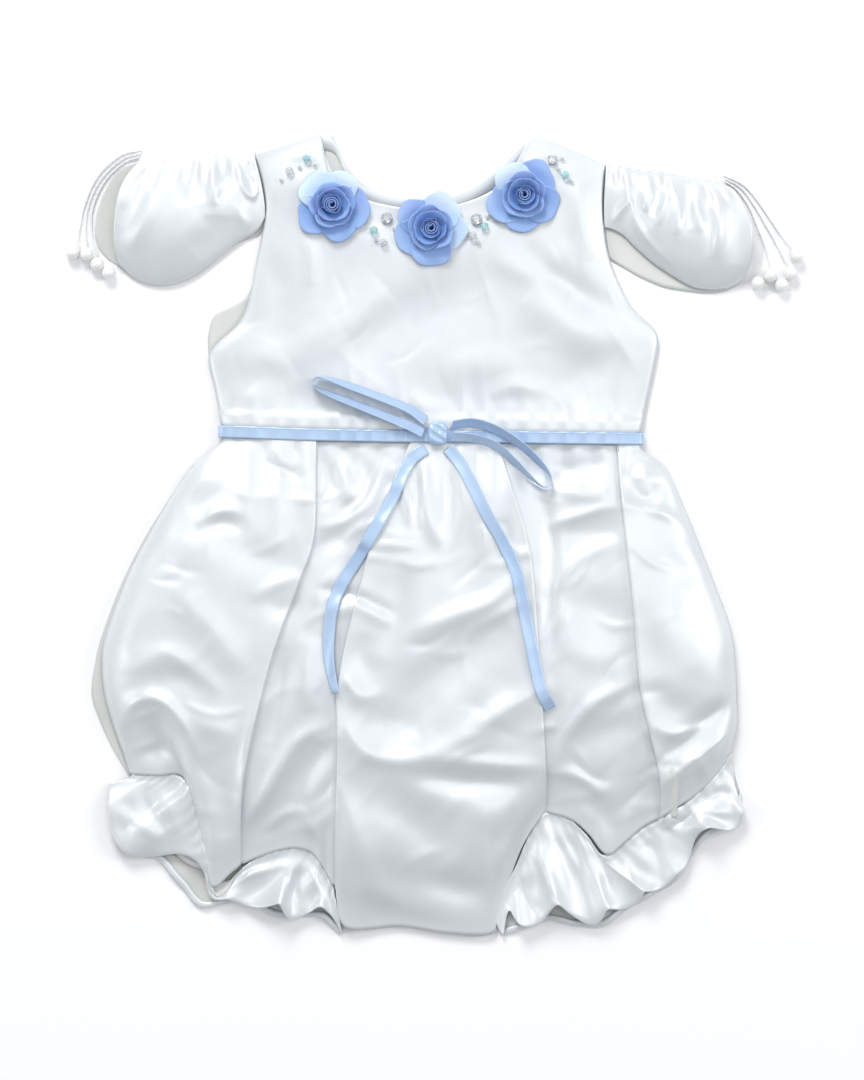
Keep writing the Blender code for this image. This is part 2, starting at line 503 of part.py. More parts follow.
def make_sleeves():
    along = np.linspace(0, 1, 20)
    for name, edges in SLEEVES.items():
        away = -SLEEVE_AWAY if name.endswith("left") else SLEEVE_AWAY
        armhole_points = BODICE_LEFT if name.endswith("left") else BODICE_RIGHT
        armhole = curve_at(armhole_points, np.linspace(0.5, 1, 120))
        rings = []
        for side, rises in (("lower", np.linspace(0, 1, 9)), ("lower_back", np.linspace(1, 0, 5))):
            back = side == "lower_back"
            top = curve_at(edges["top"], along)
            low = curve_at(edges[side], along)
            mouth = curve_at(edges["mouth_back" if back else "mouth"], np.linspace(0, 1, 60))
            f = rises[:, None, None]
            plan = (1 - f) * low[None] + f * top[None]
            mouth_at = curve_at(mouth, rises)[:, None]
            start_y = (1 - rises) * low[0, 1] + rises * top[0, 1]
            start = np.stack([np.interp(start_y, armhole[:, 1], armhole[:, 0]) + away, start_y], axis=-1)[:, None]
            s = along[None, :, None]
            plan += (1 - s) ** 2 * (start - plan[:, :1]) + s**2 * (mouth_at - plan[:, -1:])
            rings.append((plan, rises))
        front, rises = rings[0]
        f = rises[:, None]
        gather = np.cos(2 * math.pi * SLEEVE_GATHERS * along)[None]
        swell = np.interp(along, [0, 0.25, 0.6, 1], [0.1, 0.7, 1, 0.85])[None]
        top_mid = CLOTH / 2 + 2 * SLEEVE_TURN
        level = REST_MID + (top_mid - REST_MID) * f
        front_z = level + SLEEVE_PUFF * swell * np.sin(math.pi * f) ** 0.75
        front_z += 0.8 * gather * np.sin(math.pi * np.clip((f - 0.35) / 0.62, 0, 1))
        crest = front[-1]
        turn = np.radians([45, 90, 135])[:, None]
        out = np.array([0.0, 1.0])
        bend = crest[None] + (SLEEVE_TURN * np.sin(turn))[..., None] * out
        bend_z = CLOTH / 2 + SLEEVE_TURN + SLEEVE_TURN * np.cos(turn) + 0 * along[None]
        back = rings[1][0]
        back_z = np.full(back.shape[:2], CLOTH / 2)
        plan = np.concatenate([front, bend, back])
        z = np.concatenate([front_z, bend_z, back_z])
        mid = np.dstack([plan, z])
        out = normals_of(mid) * CLOTH / 2
        upper, lower = mid + out, mid - out
        outside = upper if upper[-1, 3, 2] < mid[-1, 3, 2] else lower
        outside[-5:, :, 2] = 0.0
        wall(name, upper, lower, SATIN)


def surface_of(*objects):
    """Finds the height of the highest surface under a place."""
    trees = []
    for obj in objects:
        mesh = obj.data
        trees.append(BVHTree.FromPolygons([v.co for v in mesh.vertices], [p.vertices for p in mesh.polygons]))

    def height(x, y):
        found = BACK_TOP
        for tree in trees:
            hit = tree.ray_cast(Vector((x * MM, y * MM, 0.2)), Vector((0, 0, -1)))[0]
            if hit is not None:
                found = max(found, hit.z / MM)
        return found

    return height


def highest_near(values):
    """Each value raised half way to its higher neighbour, so that a stiff strip clears a ridge between places."""
    around = np.maximum(np.roll(values, 1), np.roll(values, -1))
    around[0], around[-1] = values[1], values[-2]
    return np.maximum(values, (values + around) / 2)


def ribbon(name, route, height, look, count, clear=SEAM_GAP + 0.25):
    """A flat ribbon along a route on the cloth, leaned by the table's angle."""
    at = curve_at(route, np.linspace(0, 1, count))
    plan, lean = at[:, :2], np.radians(at[:, 2])
    along = np.gradient(plan, axis=0)
    along /= np.linalg.norm(along, axis=1, keepdims=True)
    across = np.stack([-along[:, 1], along[:, 0]], axis=-1)
    half = RIBBON_WIDTH / 2
    reach = half * np.maximum(np.cos(lean), 0.2)
    ground = [max(height(*(place + side * out * k)) for k in (-1, -0.5, 0, 0.5, 1))
              for place, side, out in zip(plan, across, reach)]
    ground = highest_near(np.array(ground))
    z = ground + clear + RIBBON_THICK / 2 * np.cos(lean) + half * np.abs(np.sin(lean))
    wide = np.dstack([across[:, 0] * np.cos(lean), across[:, 1] * np.cos(lean), np.sin(lean)])[0] * half
    centre = np.column_stack([plan, z])
    mid = np.stack([centre - wide, centre + wide], axis=1)
    normal = np.cross(np.column_stack([along, np.zeros(count)]), wide / half)
    out = (normal * RIBBON_THICK / 2)[:, None]
    return wall(name, mid + out, mid - out, look)


def loop(name, route, height, look, count):
    """A bow loop: a band leaned one way all round, out to its tip and back."""
    at = curve_at(route, np.linspace(0, 1, count))
    plan, lean = at[:, :2], np.radians(at[:, 2])
    heading = plan[count // 2] - plan[0]
    heading /= np.linalg.norm(heading)
    side = np.array([-heading[1], heading[0]])
    half = RIBBON_WIDTH / 2
    ground = max(height(*place) for place in plan) if name.endswith("left") else None
    z = []
    for place, angle in zip(plan, lean):
        under = max(height(*(place + side * half * k)) for k in (-1, 0, 1))
        z.append(max(under, (ground or 0) - 1.5) + SEAM_GAP + 0.3 + half * math.sin(angle) + 0.3)
    wide = np.column_stack([side[0] * np.cos(lean), side[1] * np.cos(lean), np.sin(lean)]) * half
    centre = np.column_stack([plan, z])
    along = np.gradient(centre, axis=0)
    normal = np.cross(along, wide)
    normal /= np.linalg.norm(normal, axis=1, keepdims=True)
    mid = np.stack([centre - wide, centre + wide], axis=1)
    out = (normal * RIBBON_THICK / 2)[:, None]
    return wall(name, mid + out, mid - out, look)


def make_waist_ribbon(height):
    """The ribbon all round the waist: over the front seam, round each side, and under the back."""
    x = np.linspace(WAIST[0][0] + 1.5, WAIST[-1][0] - 1.5, 36)
    y = np.interp(x, *np.array(WAIST).T)
    half = RIBBON_WIDTH / 2
    top = np.array([max(height(a, b + k * half) for k in (-1, 0, 1)) for a, b in zip(x, y)])
    top = np.maximum(top, np.convolve(np.pad(top, 1, "edge"), [1 / 3] * 3, "valid")) + SEAM_GAP + 0.15
    thick = RIBBON_THICK
    front = np.stack([x, top], axis=-1)
    turns = []
    for side, edge in ((1, -1), (-1, 0)):
        end_x, end_z = front[edge]
        middle = (end_z + thick) / 2
        turn = np.radians([30, 60, 90, 120, 150])
        reach = end_x + side * (2.2 * np.sin(turn) + 1.5)
        turns.append(np.stack([reach, middle + (middle - thick) * np.cos(turn)], axis=-1))
    back = np.stack([x[::-5], np.full(len(x[::-5]), thick)], axis=-1)
    inner = np.vstack([front, turns[0], back, turns[1][::-1]])
    step = np.roll(inner, -1, axis=0) - np.roll(inner, 1, axis=0)
    out = np.stack([-step[:, 1], step[:, 0]], axis=-1)
    out /= np.linalg.norm(out, axis=1, keepdims=True)
    outer = inner + out * thick
    outer[len(front) + 5:len(front) + 5 + len(back), 1] = 0.0
    seam = np.interp(inner[:, 0], *np.array(WAIST).T)

    def rim(profile):
        low = np.column_stack([profile[:, 0], seam - half, profile[:, 1]])
        high = np.column_stack([profile[:, 0], seam + half, profile[:, 1]])
        return np.stack([low, high])

    return wall("waist_ribbon", rim(outer), rim(inner), BLUE, ring=True)


def make_knot(height):
    width, length, tall = KNOT_SIZE
    x, y = KNOT_PLACE
    ground = max(height(x + a * width / 2, y + b * length / 2) for a in (-1, 0, 1) for b in (-1, 0, 1))
    bpy.ops.mesh.primitive_cube_add(size=1)
    made = bpy.context.object
    made.name = "bow_knot"
    made.data.name = "bow_knot"
    points = np.empty(24)
    made.data.vertices.foreach_get("co", points)
    points = points.reshape(-1, 3) * (width, length, tall) * MM
    made.data.vertices.foreach_set("co", points.ravel())
    made.location = (x * MM, y * MM, (ground + SEAM_GAP + tall / 2) * MM)
    bevel = made.modifiers.new("Bevel", "BEVEL")
    bevel.width = 2.2 * MM
    bevel.segments = 3
    made.data.materials.append(material("bow_knot", BLUE))
    return made


def make_rose(name, x, y, turn, height):
    """A rosette: petal rings as steps of a dome, a spiral bud in the middle, flat underneath."""
    spokes = np.linspace(0, 2 * math.pi, 27, endpoint=False)
    rings = np.array([1.0, 0.86, 0.72, 0.62, 0.46, 0.36, 0.18, 0.07])
    rise = np.array([0.12, 0.34, 0.42, 0.66, 0.7, 0.92, 1.0, 0.82])
    start = math.radians(turn)
    wave = np.cos(ROSE_PETALS * (spokes - start))
    lobe = 1 + 0.07 * wave[None] * np.clip(rings[:, None] * 1.2 - 0.2, 0, 1)
    radius = ROSE_WIDTH / 2 * 0.94 * rings[:, None] * lobe
    spiral = np.cos(spokes[None] + rings[:, None] * 14 - start)
    z = ROSE_HEIGHT * rise[:, None] * (1 + 0.07 * spiral)
    place = np.stack([x + radius * np.cos(spokes), y + radius * np.sin(spokes)], axis=-1)
    reach = ROSE_WIDTH / 2 * 0.8
    ground = max(height(x + reach * k * math.cos(a), y + reach * k * math.sin(a)) for a in spokes[::3]
                 for k in (0, 0.35, 0.7, 1, 1.2))
    base = ground + SEAM_GAP
    upper = np.dstack([place, base + z])
    lower = np.dstack([place, np.full(z.shape, base)])
    points = np.vstack([upper.reshape(-1, 3), lower[0]])
    count = len(spokes)
    faces = []
    for ring in range(len(rings) - 1):
        for i in range(count):
            j = (i + 1) % count
            faces.append([ring * count + i, ring * count + j, (ring + 1) * count + j, (ring + 1) * count + i])
    under = len(rings) * count
    for i in range(count):
        j = (i + 1) % count
        faces.append([under + i, under + j, j, i])
    faces.append([(len(rings) - 1) * count + i for i in range(count)])
    faces.append([under + i for i in reversed(range(count))])
    return add_mesh(name, points, faces, ROSE_BLUE)


def make_ball(name, x, y, z, width, look, squash=1.0):
    bpy.ops.mesh.primitive_ico_sphere_add(subdivisions=2, radius=width / 2 * MM)
    made = bpy.context.object
    made.name = name
    made.data.name = name
    points = np.empty(len(made.data.vertices) * 3)
    made.data.vertices.foreach_get("co", points)
    points.reshape(-1, 3)[:, 2] *= squash
    made.data.vertices.foreach_set("co", points)
    made.data.shade_smooth()
    made.location = (x * MM, y * MM, z * MM)
    made.data.materials.append(material(name, look))
    return made


def make_beads(height):
    for name, x, y in BEADS:
        ground = max(height(x + a, y + b) for a in (-1, 0, 1) for b in (-1, 0, 1))
        make_ball(name, x, y, ground + SEAM_GAP + BEAD_WIDTH / 2, BEAD_WIDTH, AQUA)
    for name, x, y in STONES:
        reach = STONE_WIDTH / 2
        ground = max(height(x + a * reach, y + b * reach) for a in (-1, 0, 1) for b in (-1, 0, 1))
        bpy.ops.mesh.primitive_cone_add(vertices=8, radius1=reach * MM, radius2=reach * 0.55 * MM, depth=3.2 * MM)
        made = bpy.context.object
        made.name = name
        made.data.name = name
        made.location = (x * MM, y * MM, (ground + SEAM_GAP + 1.6) * MM)
        made.data.materials.append(material(name, SILVER))


def make_strings():
    for name, route in STRINGS.items():
        spline_points = curve_at(route, np.linspace(0, 1, STRING_POINTS))
        curve = bpy.data.curves.new(name, "CURVE")
        curve.dimensions = "3D"
        curve.bevel_depth = STRING_WIDTH / 2 * MM
        curve.bevel_resolution = 2
        curve.use_fill_caps = True
        spline = curve.splines.new("POLY")
        spline.points.add(len(spline_points) - 1)
        rise = smooth_step((np.linspace(0, 1, STRING_POINTS) - 0.75) / 0.25)
        levels = STRING_FLOOR + (PEARL_WIDTH / 2 - STRING_FLOOR) * rise
        for point, (x, y), z in zip(spline.points, spline_points, levels):
            point.co = (x * MM, y * MM, z * MM, 1)
        curve.materials.append(material(name, SATIN))
        made = bpy.data.objects.new(name, curve)
        bpy.context.scene.collection.objects.link(made)
    for name, x, y in PEARLS:
        make_ball(name, x, y, PEARL_WIDTH / 2, PEARL_WIDTH, PEARL)


def main():
    clear_scene()
    make_bodice()
    bloomer = make_bloomer()
    back_edge = make_bloomer_back()
    make_frills(back_edge)
    make_sleeves()
    bodice = bpy.data.objects["bodice_front"]
    on_cloth = surface_of(bodice, bloomer)
    tie = make_waist_ribbon(on_cloth)
    on_tie = surface_of(bodice, bloomer, tie)
    make_knot(on_tie)
    for name, route in BOW.items():
        loop(name, route, on_tie, BLUE, 34)
    for name, route in TAILS.items():
        ribbon(name, route, on_tie, BLUE, 26)
    on_bodice = surface_of(bodice)
    for name, x, y, turn in ROSES:
        make_rose(name, x, y, turn, on_bodice)
    make_beads(on_bodice)
    make_strings()


main()
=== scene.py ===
import math

import bpy
import numpy as np
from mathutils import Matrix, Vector
from mathutils.bvhtree import BVHTree


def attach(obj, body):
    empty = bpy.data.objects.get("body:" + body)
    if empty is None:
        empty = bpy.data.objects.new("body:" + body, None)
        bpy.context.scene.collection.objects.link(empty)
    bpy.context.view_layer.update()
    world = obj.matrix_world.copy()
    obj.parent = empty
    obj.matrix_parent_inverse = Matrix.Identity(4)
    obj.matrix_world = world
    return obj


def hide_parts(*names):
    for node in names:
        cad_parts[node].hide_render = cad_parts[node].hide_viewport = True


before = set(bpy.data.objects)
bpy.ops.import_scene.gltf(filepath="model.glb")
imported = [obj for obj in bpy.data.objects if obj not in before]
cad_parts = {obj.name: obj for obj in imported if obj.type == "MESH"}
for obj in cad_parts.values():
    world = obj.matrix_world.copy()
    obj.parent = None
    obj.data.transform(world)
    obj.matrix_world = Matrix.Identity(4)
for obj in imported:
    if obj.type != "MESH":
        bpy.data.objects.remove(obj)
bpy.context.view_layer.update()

# Shapes are worked out in millimetres and become metres in the mesh.
mm = 0.001
pi = math.pi

# How the layers lie on each other, seen from the side.
layers = dict(thick=0.5, backMid=0.3, restMid=1.95, seamGap=0.3, waistMid=7.2, backLift=1.5, backSpread=4.0,
              ribbonWidth=6.5)

waistSeam = [(-108.3, 55.5), (-66, 53.9), (-28, 53.1), (4, 52.8), (52.6, 52.3), (117.4, 51.5)]


# A smooth curve through the points, read at fractions of its length seen from above.
def curveAt(points, places):
    points = np.asarray(points, float)
    ends = np.vstack([2 * points[0] - points[1], points, 2 * points[-1] - points[-2]])
    a, b, c, d = (ends[i:len(ends) - 3 + i][:, None] for i in range(4))
    t = np.linspace(0, 1, 16, endpoint=False)[None, :, None]
    bend = (2 * b + (c - a) * t + (2 * a - 5 * b + 4 * c - d) * t**2 + (3 * b - a - 3 * c + d) * t**3) / 2
    dense = np.vstack([bend.reshape(-1, points.shape[1]), points[-1:]])
    steps = np.linalg.norm(np.diff(dense[:, :2], axis=0), axis=1)
    length = np.concatenate([[0], np.cumsum(steps)])
    return np.stack([np.interp(np.asarray(places) * length[-1], length, axis) for axis in dense.T], axis=-1)


# Zero to one with level ends: 3 t^2 - 2 t^3.
def smoothStep(t):
    t = np.clip(t, 0, 1)
    return t * t * (3 - 2 * t)


# A running mean of a row of values, weighted by a raised cosine.
def smoothed(values, reach):
    window = np.hanning(2 * reach + 3)[1:-1]
    return np.convolve(np.pad(values, reach, "edge"), window / window.sum(), "valid")


# Unit normals of a grid: the cross product of its two differences.
def normalsOf(grid):
    found = np.cross(np.gradient(grid, axis=1), np.gradient(grid, axis=0))
    return found / np.maximum(np.linalg.norm(found, axis=-1, keepdims=True), 1e-9)


# A sum of sixteen plane waves of about one length, each with a seeded direction and phase.
def softNoise(x, y, size, seed):
    draw = np.random.default_rng(seed)
    turn, phase = draw.uniform(0, 2 * pi, 16), draw.uniform(0, 2 * pi, 16)
    number = 2 * pi / (size * draw.uniform(0.7, 1.5, 16))
    x, y = np.asarray(x)[..., None], np.asarray(y)[..., None]
    return np.sin(number * (x * np.cos(turn) + y * np.sin(turn)) + phase).sum(axis=-1) / 4


# Creases: each is a bell or a sharper crest beside a smooth line, strongest along its middle.
def creaseRise(x, y, table):
    total = np.zeros_like(x)
    for halfWidth, rise, sharp, *line in table:
        path = curveAt(np.reshape(line, (-1, 2)), np.linspace(0, 1, 14))
        start, step = path[:-1, :2], np.diff(path[:, :2], axis=0)
        dx, dy = x[..., None] - start[:, 0], y[..., None] - start[:, 1]
        along = np.clip((dx * step[:, 0] + dy * step[:, 1]) / (step**2).sum(axis=1), 0, 1)
        away = np.hypot(dx - along * step[:, 0], dy - along * step[:, 1])
        near = away.argmin(axis=-1)[..., None]
        part = (np.take_along_axis(along, near, -1) + near)[..., 0] / len(step)
        away = np.take_along_axis(away, near, -1)[..., 0]
        shape = (1 - sharp) * np.exp(-((away / halfWidth) ** 2)) + sharp * np.exp(-2.2 * away / halfWidth)
        total += rise * shape * (0.15 + 0.85 * np.sin(pi * part) ** 0.7)
    return total


# Small wrinkles between the main creases: short bent lines at seeded places, turned about one heading.
def smallWrinkles(count, corners, heading, spread, rise, seed):
    draw = np.random.default_rng(seed)
    x, y = draw.uniform(corners[0], corners[2], count), draw.uniform(corners[1], corners[3], count)
    turn = np.radians(heading + draw.uniform(-spread, spread, count))
    half, wide = draw.uniform(7, 17, count), draw.uniform(1.9, 3.4, count)
    bend = half * draw.uniform(-0.3, 0.3, count)
    rise = rise * draw.uniform(0.4, 1.0, count) * draw.choice([-1, 1], count)
    ux, uy = np.cos(turn), np.sin(turn)
    lines = np.array([(x - half * ux, y - half * uy), (x - bend * uy, y + bend * ux),
                      (x + half * ux, y + half * uy)]).transpose(2, 0, 1)
    return [(w, r, 0.4, *line.ravel()) for line, w, r in zip(lines, wide, rise)]


# Gathers that start at a seam: bells across it that die out at their own lengths.
# Rows: place, width, length, rise.
def gatherRise(across, away, table):
    place, width, length, rise = np.array(table).T
    bells = np.exp(-(((across[..., None] - place) / width) ** 2))
    fade = np.exp(-((np.maximum(away[..., None], 0) / length) ** 1.5))
    return (bells * fade * rise).sum(axis=-1)


# A rise with an upright start and a level end, as a quarter circle: sqrt(1 - (1 - t)^2).
def quarterRound(t):
    return np.sqrt(1 - (1 - np.clip(t, 0, 1)) ** 2)


# A panel's creases and small wrinkles, and an uneven rest of noises: rise, size, seed.
def clothBumps(x, y, v):
    total = v["creaseRise"] * creaseRise(x, y, v["creases"] + smallWrinkles(*v["wrinkles"]))
    return total + sum(rise * softNoise(x, y, size, seed) for rise, size, seed in v["uneven"])


# A panel between four edges: the sides blend straight across, and the top and bottom fade in as squares.
def panelPlan(left, right, top, bottom, across, down):
    s, v = np.asarray(across)[None, :, None], np.asarray(down)[:, None, None]
    start, end = curveAt(left, down)[:, None, :2], curveAt(right, down)[:, None, :2]
    straightTop = (1 - s) * start[:1] + s * end[:1]
    straightBottom = (1 - s) * start[-1:] + s * end[-1:]
    return ((1 - s) * start + s * end + (1 - v) ** 2 * (top[None] - straightTop)
            + v**2 * (bottom[None] - straightBottom))


# Places on the waist seam between two x values.
def waistPart(startX, endX, places):
    full = curveAt(waistSeam, np.linspace(0, 1, 160))
    x = startX + (endX - startX) * np.asarray(places)
    return np.stack([x, np.interp(x, full[:, 0], full[:, 1])], axis=-1)


# The back layer steps up over the ribbon that runs under it, by a smooth step beside the seam.
def backLift(x, y, spread=0.0):
    away = np.abs(y - np.interp(x, *np.array(waistSeam).T)) - spread
    return layers["backLift"] * (1 - smoothStep((away - layers["ribbonWidth"] / 2 - 0.8) / 5.0))


# Row fractions with one close row at the seam.
def seamRows(count, length):
    return np.concatenate([[0], np.linspace(5.0 / length, 1, count)])


# Three rows more past a grid's last row, which turn the hem under (side -1) or over (side 1).
def turnedHem(grid, depth, side=-1, gap=0.8):
    out = grid[-1] - grid[-4]
    out = out / np.maximum(np.linalg.norm(out, axis=-1, keepdims=True), 1e-9)
    moves = [(0.35, 0.3), (0.45, 0.65), (0.0, 1.0), (-0.4 * depth, 1.0), (-depth, 1.0)]
    up = np.array([0, 0, side * gap])
    return np.concatenate([grid, np.stack([grid[-1] + out * a + up * b for a, b in moves])])


# An object from points in millimetres, with a UV map in metres of cloth.
def addPiece(name, points, faces, looks, uv=None, smooth=True, kind="cloth"):
    mesh = bpy.data.meshes.new(name)
    mesh.from_pydata((np.asarray(points).reshape(-1, 3) * mm).tolist(), [], [list(face) for face in faces])
    mesh.update()
    if smooth:
        mesh.shade_smooth()
    for look in looks:
        mesh.materials.append(look)
    if uv is not None:
        corner = np.empty(len(mesh.loops), np.int32)
        mesh.loops.foreach_get("vertex_index", corner)
        mesh.uv_layers.new(name="cloth").data.foreach_set("uv", uv.reshape(-1, 2)[corner].ravel() * mm)
    made = bpy.data.objects.new(name + "_" + kind, mesh)
    bpy.context.scene.collection.objects.link(made)
    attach(made, "root")
    return made


# This piece is shown in a node's place: the node is hidden.
def standsFor(made, node):
    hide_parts(node)
    return made


# Quads between the neighbours of a grid of rows and columns, closed round its rows if asked.
def gridFaces(rows, columns, ring=False, flip=False):
    place = np.arange(rows * columns).reshape(rows, columns)
    if ring:
        place = np.hstack([place, place[:, :1]])
    corners = [place[:-1, :-1], place[:-1, 1:], place[1:, 1:], place[1:, :-1]]
    quads = np.stack(corners, axis=-1).reshape(-1, 4)
    return quads[:, ::-1] if flip else quads


# Cloth of even thickness on a grid: the UV map is the length along its rows and columns.
def clothPiece(name, grid, looks, thick=None, ring=False, faceUp=True):
    rows, columns = grid.shape[:2]
    middle = normalsOf(grid)[rows // 3, columns // 3, 2]
    flip = (middle > 0) != faceUp
    along = np.cumsum(np.linalg.norm(np.diff(grid, axis=1, prepend=grid[:, :1]), axis=2), axis=1)
    down = np.cumsum(np.linalg.norm(np.diff(grid, axis=0, prepend=grid[:1]), axis=2), axis=0)
    made = addPiece(name, grid, gridFaces(rows, columns, ring, flip), looks, np.stack([along, down], axis=-1))
    shell = made.modifiers.new("Solidify", "SOLIDIFY")
    shell.thickness = (thick or layers["thick"]) * mm
    shell.offset = 0
    shell.material_offset = len(looks) - 1
    return made


# The height of the highest of some surfaces under a place.
def surfaceOf(*objects):
    trees = [BVHTree.FromPolygons([v.co for v in o.data.vertices], [p.vertices for p in o.data.polygons])
             for o in objects]

    def height(x, y):
        found = 1.0
        for tree in trees:
            hit = tree.ray_cast(Vector((x * mm, y * mm, 0.2)), Vector((0, 0, -1)))[0]
            if hit is not None:
                found = max(found, hit.z / mm + layers["thick"] / 2)
        return found

    return height


# The highest of nine places in a box round a middle, on which a small piece lies.
def highestUnder(height, x, y, halfX, halfY):
    return max(height(x + a * halfX, y + b * halfY) for a in (-1, 0, 1) for b in (-1, 0, 1))


# The camera, the lights and the floor.
# Millimetres, but the floor's half width and drop in metres.
viewValues = dict(centre=(5.1, -3.3), field=583.2, height=2000.0, clothHeight=10.0, floorHalf=6,
                  floorLow=-0.0003)
lightValues = dict(
    world=(0.95, 0.97, 1.0), worldStrength=0.50,
    softboxes=[("key", (-500, 1700, 1400), 800, 29.0), ("right", (1700, 400, 1250), 800, 12.0),
               ("left", (-1800, -100, 1200), 800, 7.0), ("top", (700, 500, 2700), 1200, 9.0)])


# Straight above; the lens is the sensor's width times the distance over the field's width.
def makeCamera():
    data = bpy.data.cameras.new("camera")
    camera = bpy.data.objects.new("camera", data)
    bpy.context.scene.collection.objects.link(camera)
    x, y = viewValues["centre"]
    camera.location = (x * mm, y * mm, viewValues["height"] * mm)
    data.lens = data.sensor_width * (viewValues["height"] - viewValues["clothHeight"]) / viewValues["field"]
    data.clip_end = 50
    bpy.context.scene.camera = camera


# A pale world, four soft lights turned to the middle, and the floor.
def makeStudio():
    scene = bpy.context.scene
    world = bpy.data.worlds.new("studio")
    world.use_nodes = True
    world.node_tree.nodes["Background"].inputs["Color"].default_value = (*lightValues["world"], 1)
    world.node_tree.nodes["Background"].inputs["Strength"].default_value = lightValues["worldStrength"]
    scene.world = world
    scene.view_settings.view_transform = "Standard"
    for name, place, size, power in lightValues["softboxes"]:
        data = bpy.data.lights.new(name, "AREA")
        data.size, data.energy = size * mm, power
        box = bpy.data.objects.new(name, data)
        scene.collection.objects.link(box)
        box.location = Vector(place) * mm
        box.rotation_euler = (-box.location).to_track_quat("-Z", "Y").to_euler()
    look = bpy.data.materials.new("floorPaper")
    look.use_nodes = True
    shader = look.node_tree.nodes["Principled BSDF"]
    shader.inputs["Base Color"].default_value = (0.93, 0.935, 0.94, 1)
    shader.inputs["Roughness"].default_value = 0.9
    mesh = bpy.data.meshes.new("floor")
    half, low = viewValues["floorHalf"], viewValues["floorLow"]
    corners = [(a * half, b * half, low) for a, b in ((-1, -1), (1, -1), (1, 1), (-1, 1))]
    mesh.from_pydata(corners, [], [(0, 1, 2, 3)])
    mesh.materials.append(look)
    floor = bpy.data.objects.new("floor", mesh)
    scene.collection.objects.link(floor)


# The finishes.
# The weave group: fine streaks along the threads, a twill of thin lines, and slow clouds of tone.
def makeWeave():
    group = bpy.data.node_groups.new("satinWeave", "ShaderNodeTree")
    inputs = dict(Light_Tone="Color", Shade_Tone="Color", Threads="Float", Gloss_Low="Float",
                  Gloss_High="Float", Relief="Float")
    outputs = dict(Color="Color", Roughness="Float", Normal="Vector")
    for way, sockets in (("INPUT", inputs), ("OUTPUT", outputs)):
        for name, kind in sockets.items():
            group.interface.new_socket(name.replace("_", " "), in_out=way, socket_type="NodeSocket" + kind)
    nodes, links = group.nodes, group.links
    given, out = nodes.new("NodeGroupInput"), nodes.new("NodeGroupOutput")
    place = nodes.new("ShaderNodeTexCoord")

    def stretched(scale, detail, size):
        mapping = nodes.new("ShaderNodeMapping")
        mapping.inputs["Scale"].default_value = scale
        noise = nodes.new("ShaderNodeTexNoise")
        noise.inputs["Scale"].default_value = size
        noise.inputs["Detail"].default_value = detail
        links.new(place.outputs["UV"], mapping.inputs["Vector"])
        links.new(mapping.outputs["Vector"], noise.inputs["Vector"])
        return noise.outputs["Fac"]

    streaks = stretched((1.0, 0.045, 1.0), 3, 2400)
    weft = stretched((0.06, 1.0, 1.0), 2, 1500)
    clouds = stretched((1.0, 1.0, 1.0), 2, 22)
    twill = nodes.new("ShaderNodeTexWave")
    twill.bands_direction = "DIAGONAL"
    twill.inputs["Distortion"].default_value = 0.6
    links.new(place.outputs["UV"], twill.inputs["Vector"])
    links.new(given.outputs["Threads"], twill.inputs["Scale"])
    both = nodes.new("ShaderNodeMath")
    both.operation = "ADD"
    links.new(streaks, both.inputs[0])
    links.new(weft, both.inputs[1])
    rib = nodes.new("ShaderNodeMath")
    rib.operation = "MULTIPLY_ADD"
    rib.inputs[1].default_value = 0.35
    links.new(twill.outputs["Fac"], rib.inputs[0])
    links.new(both.outputs[0], rib.inputs[2])
    bump = nodes.new("ShaderNodeBump")
    bump.inputs["Distance"].default_value = 0.00001
    links.new(given.outputs["Relief"], bump.inputs["Strength"])
    links.new(rib.outputs[0], bump.inputs["Height"])
    links.new(bump.outputs["Normal"], out.inputs["Normal"])
    tone = nodes.new("ShaderNodeMix")
    tone.data_type = "RGBA"
    spread = nodes.new("ShaderNodeMapRange")
    spread.inputs["From Min"].default_value, spread.inputs["From Max"].default_value = 0.35, 0.65
    links.new(clouds, spread.inputs["Value"])
    links.new(spread.outputs["Result"], tone.inputs["Factor"])
    links.new(given.outputs["Light Tone"], tone.inputs[6])
    links.new(given.outputs["Shade Tone"], tone.inputs[7])
    links.new(tone.outputs[2], out.inputs["Color"])
    gloss = nodes.new("ShaderNodeMapRange")
    gloss.inputs["From Min"].default_value, gloss.inputs["From Max"].default_value = 0.3, 0.7
    links.new(streaks, gloss.inputs["Value"])
    links.new(given.outputs["Gloss Low"], gloss.inputs["To Min"])
    links.new(given.outputs["Gloss High"], gloss.inputs["To Max"])
    links.new(gloss.outputs["Result"], out.inputs["Roughness"])
    return group


# A Principled material whose own sockets hold the steady values.
def newLook(name, **values):
    look = bpy.data.materials.new(name)
    look.use_nodes = True
    shader = look.node_tree.nodes["Principled BSDF"]
    for socket, value in values.items():
        shader.inputs[socket.replace("_", " ")].default_value = value
    return look, shader


# Cloth: two tones and a range of roughness go through the weave group; the rest is the shader's own.
def clothLook(name, weave, light, shade, low, high, relief, threads=1800.0, **values):
    look, shader = newLook(name, **values)
    tree = look.node_tree
    placed = tree.nodes.new("ShaderNodeGroup")
    placed.node_tree = weave
    placed.inputs["Light Tone"].default_value = (*light, 1)
    placed.inputs["Shade Tone"].default_value = (*shade, 1)
    placed.inputs["Threads"].default_value = threads
    placed.inputs["Gloss Low"].default_value, placed.inputs["Gloss High"].default_value = low, high
    placed.inputs["Relief"].default_value = relief
    tree.links.new(placed.outputs["Color"], shader.inputs["Base Color"])
    tree.links.new(placed.outputs["Roughness"], shader.inputs["Roughness"])
    tree.links.new(placed.outputs["Normal"], shader.inputs["Normal"])
    return look


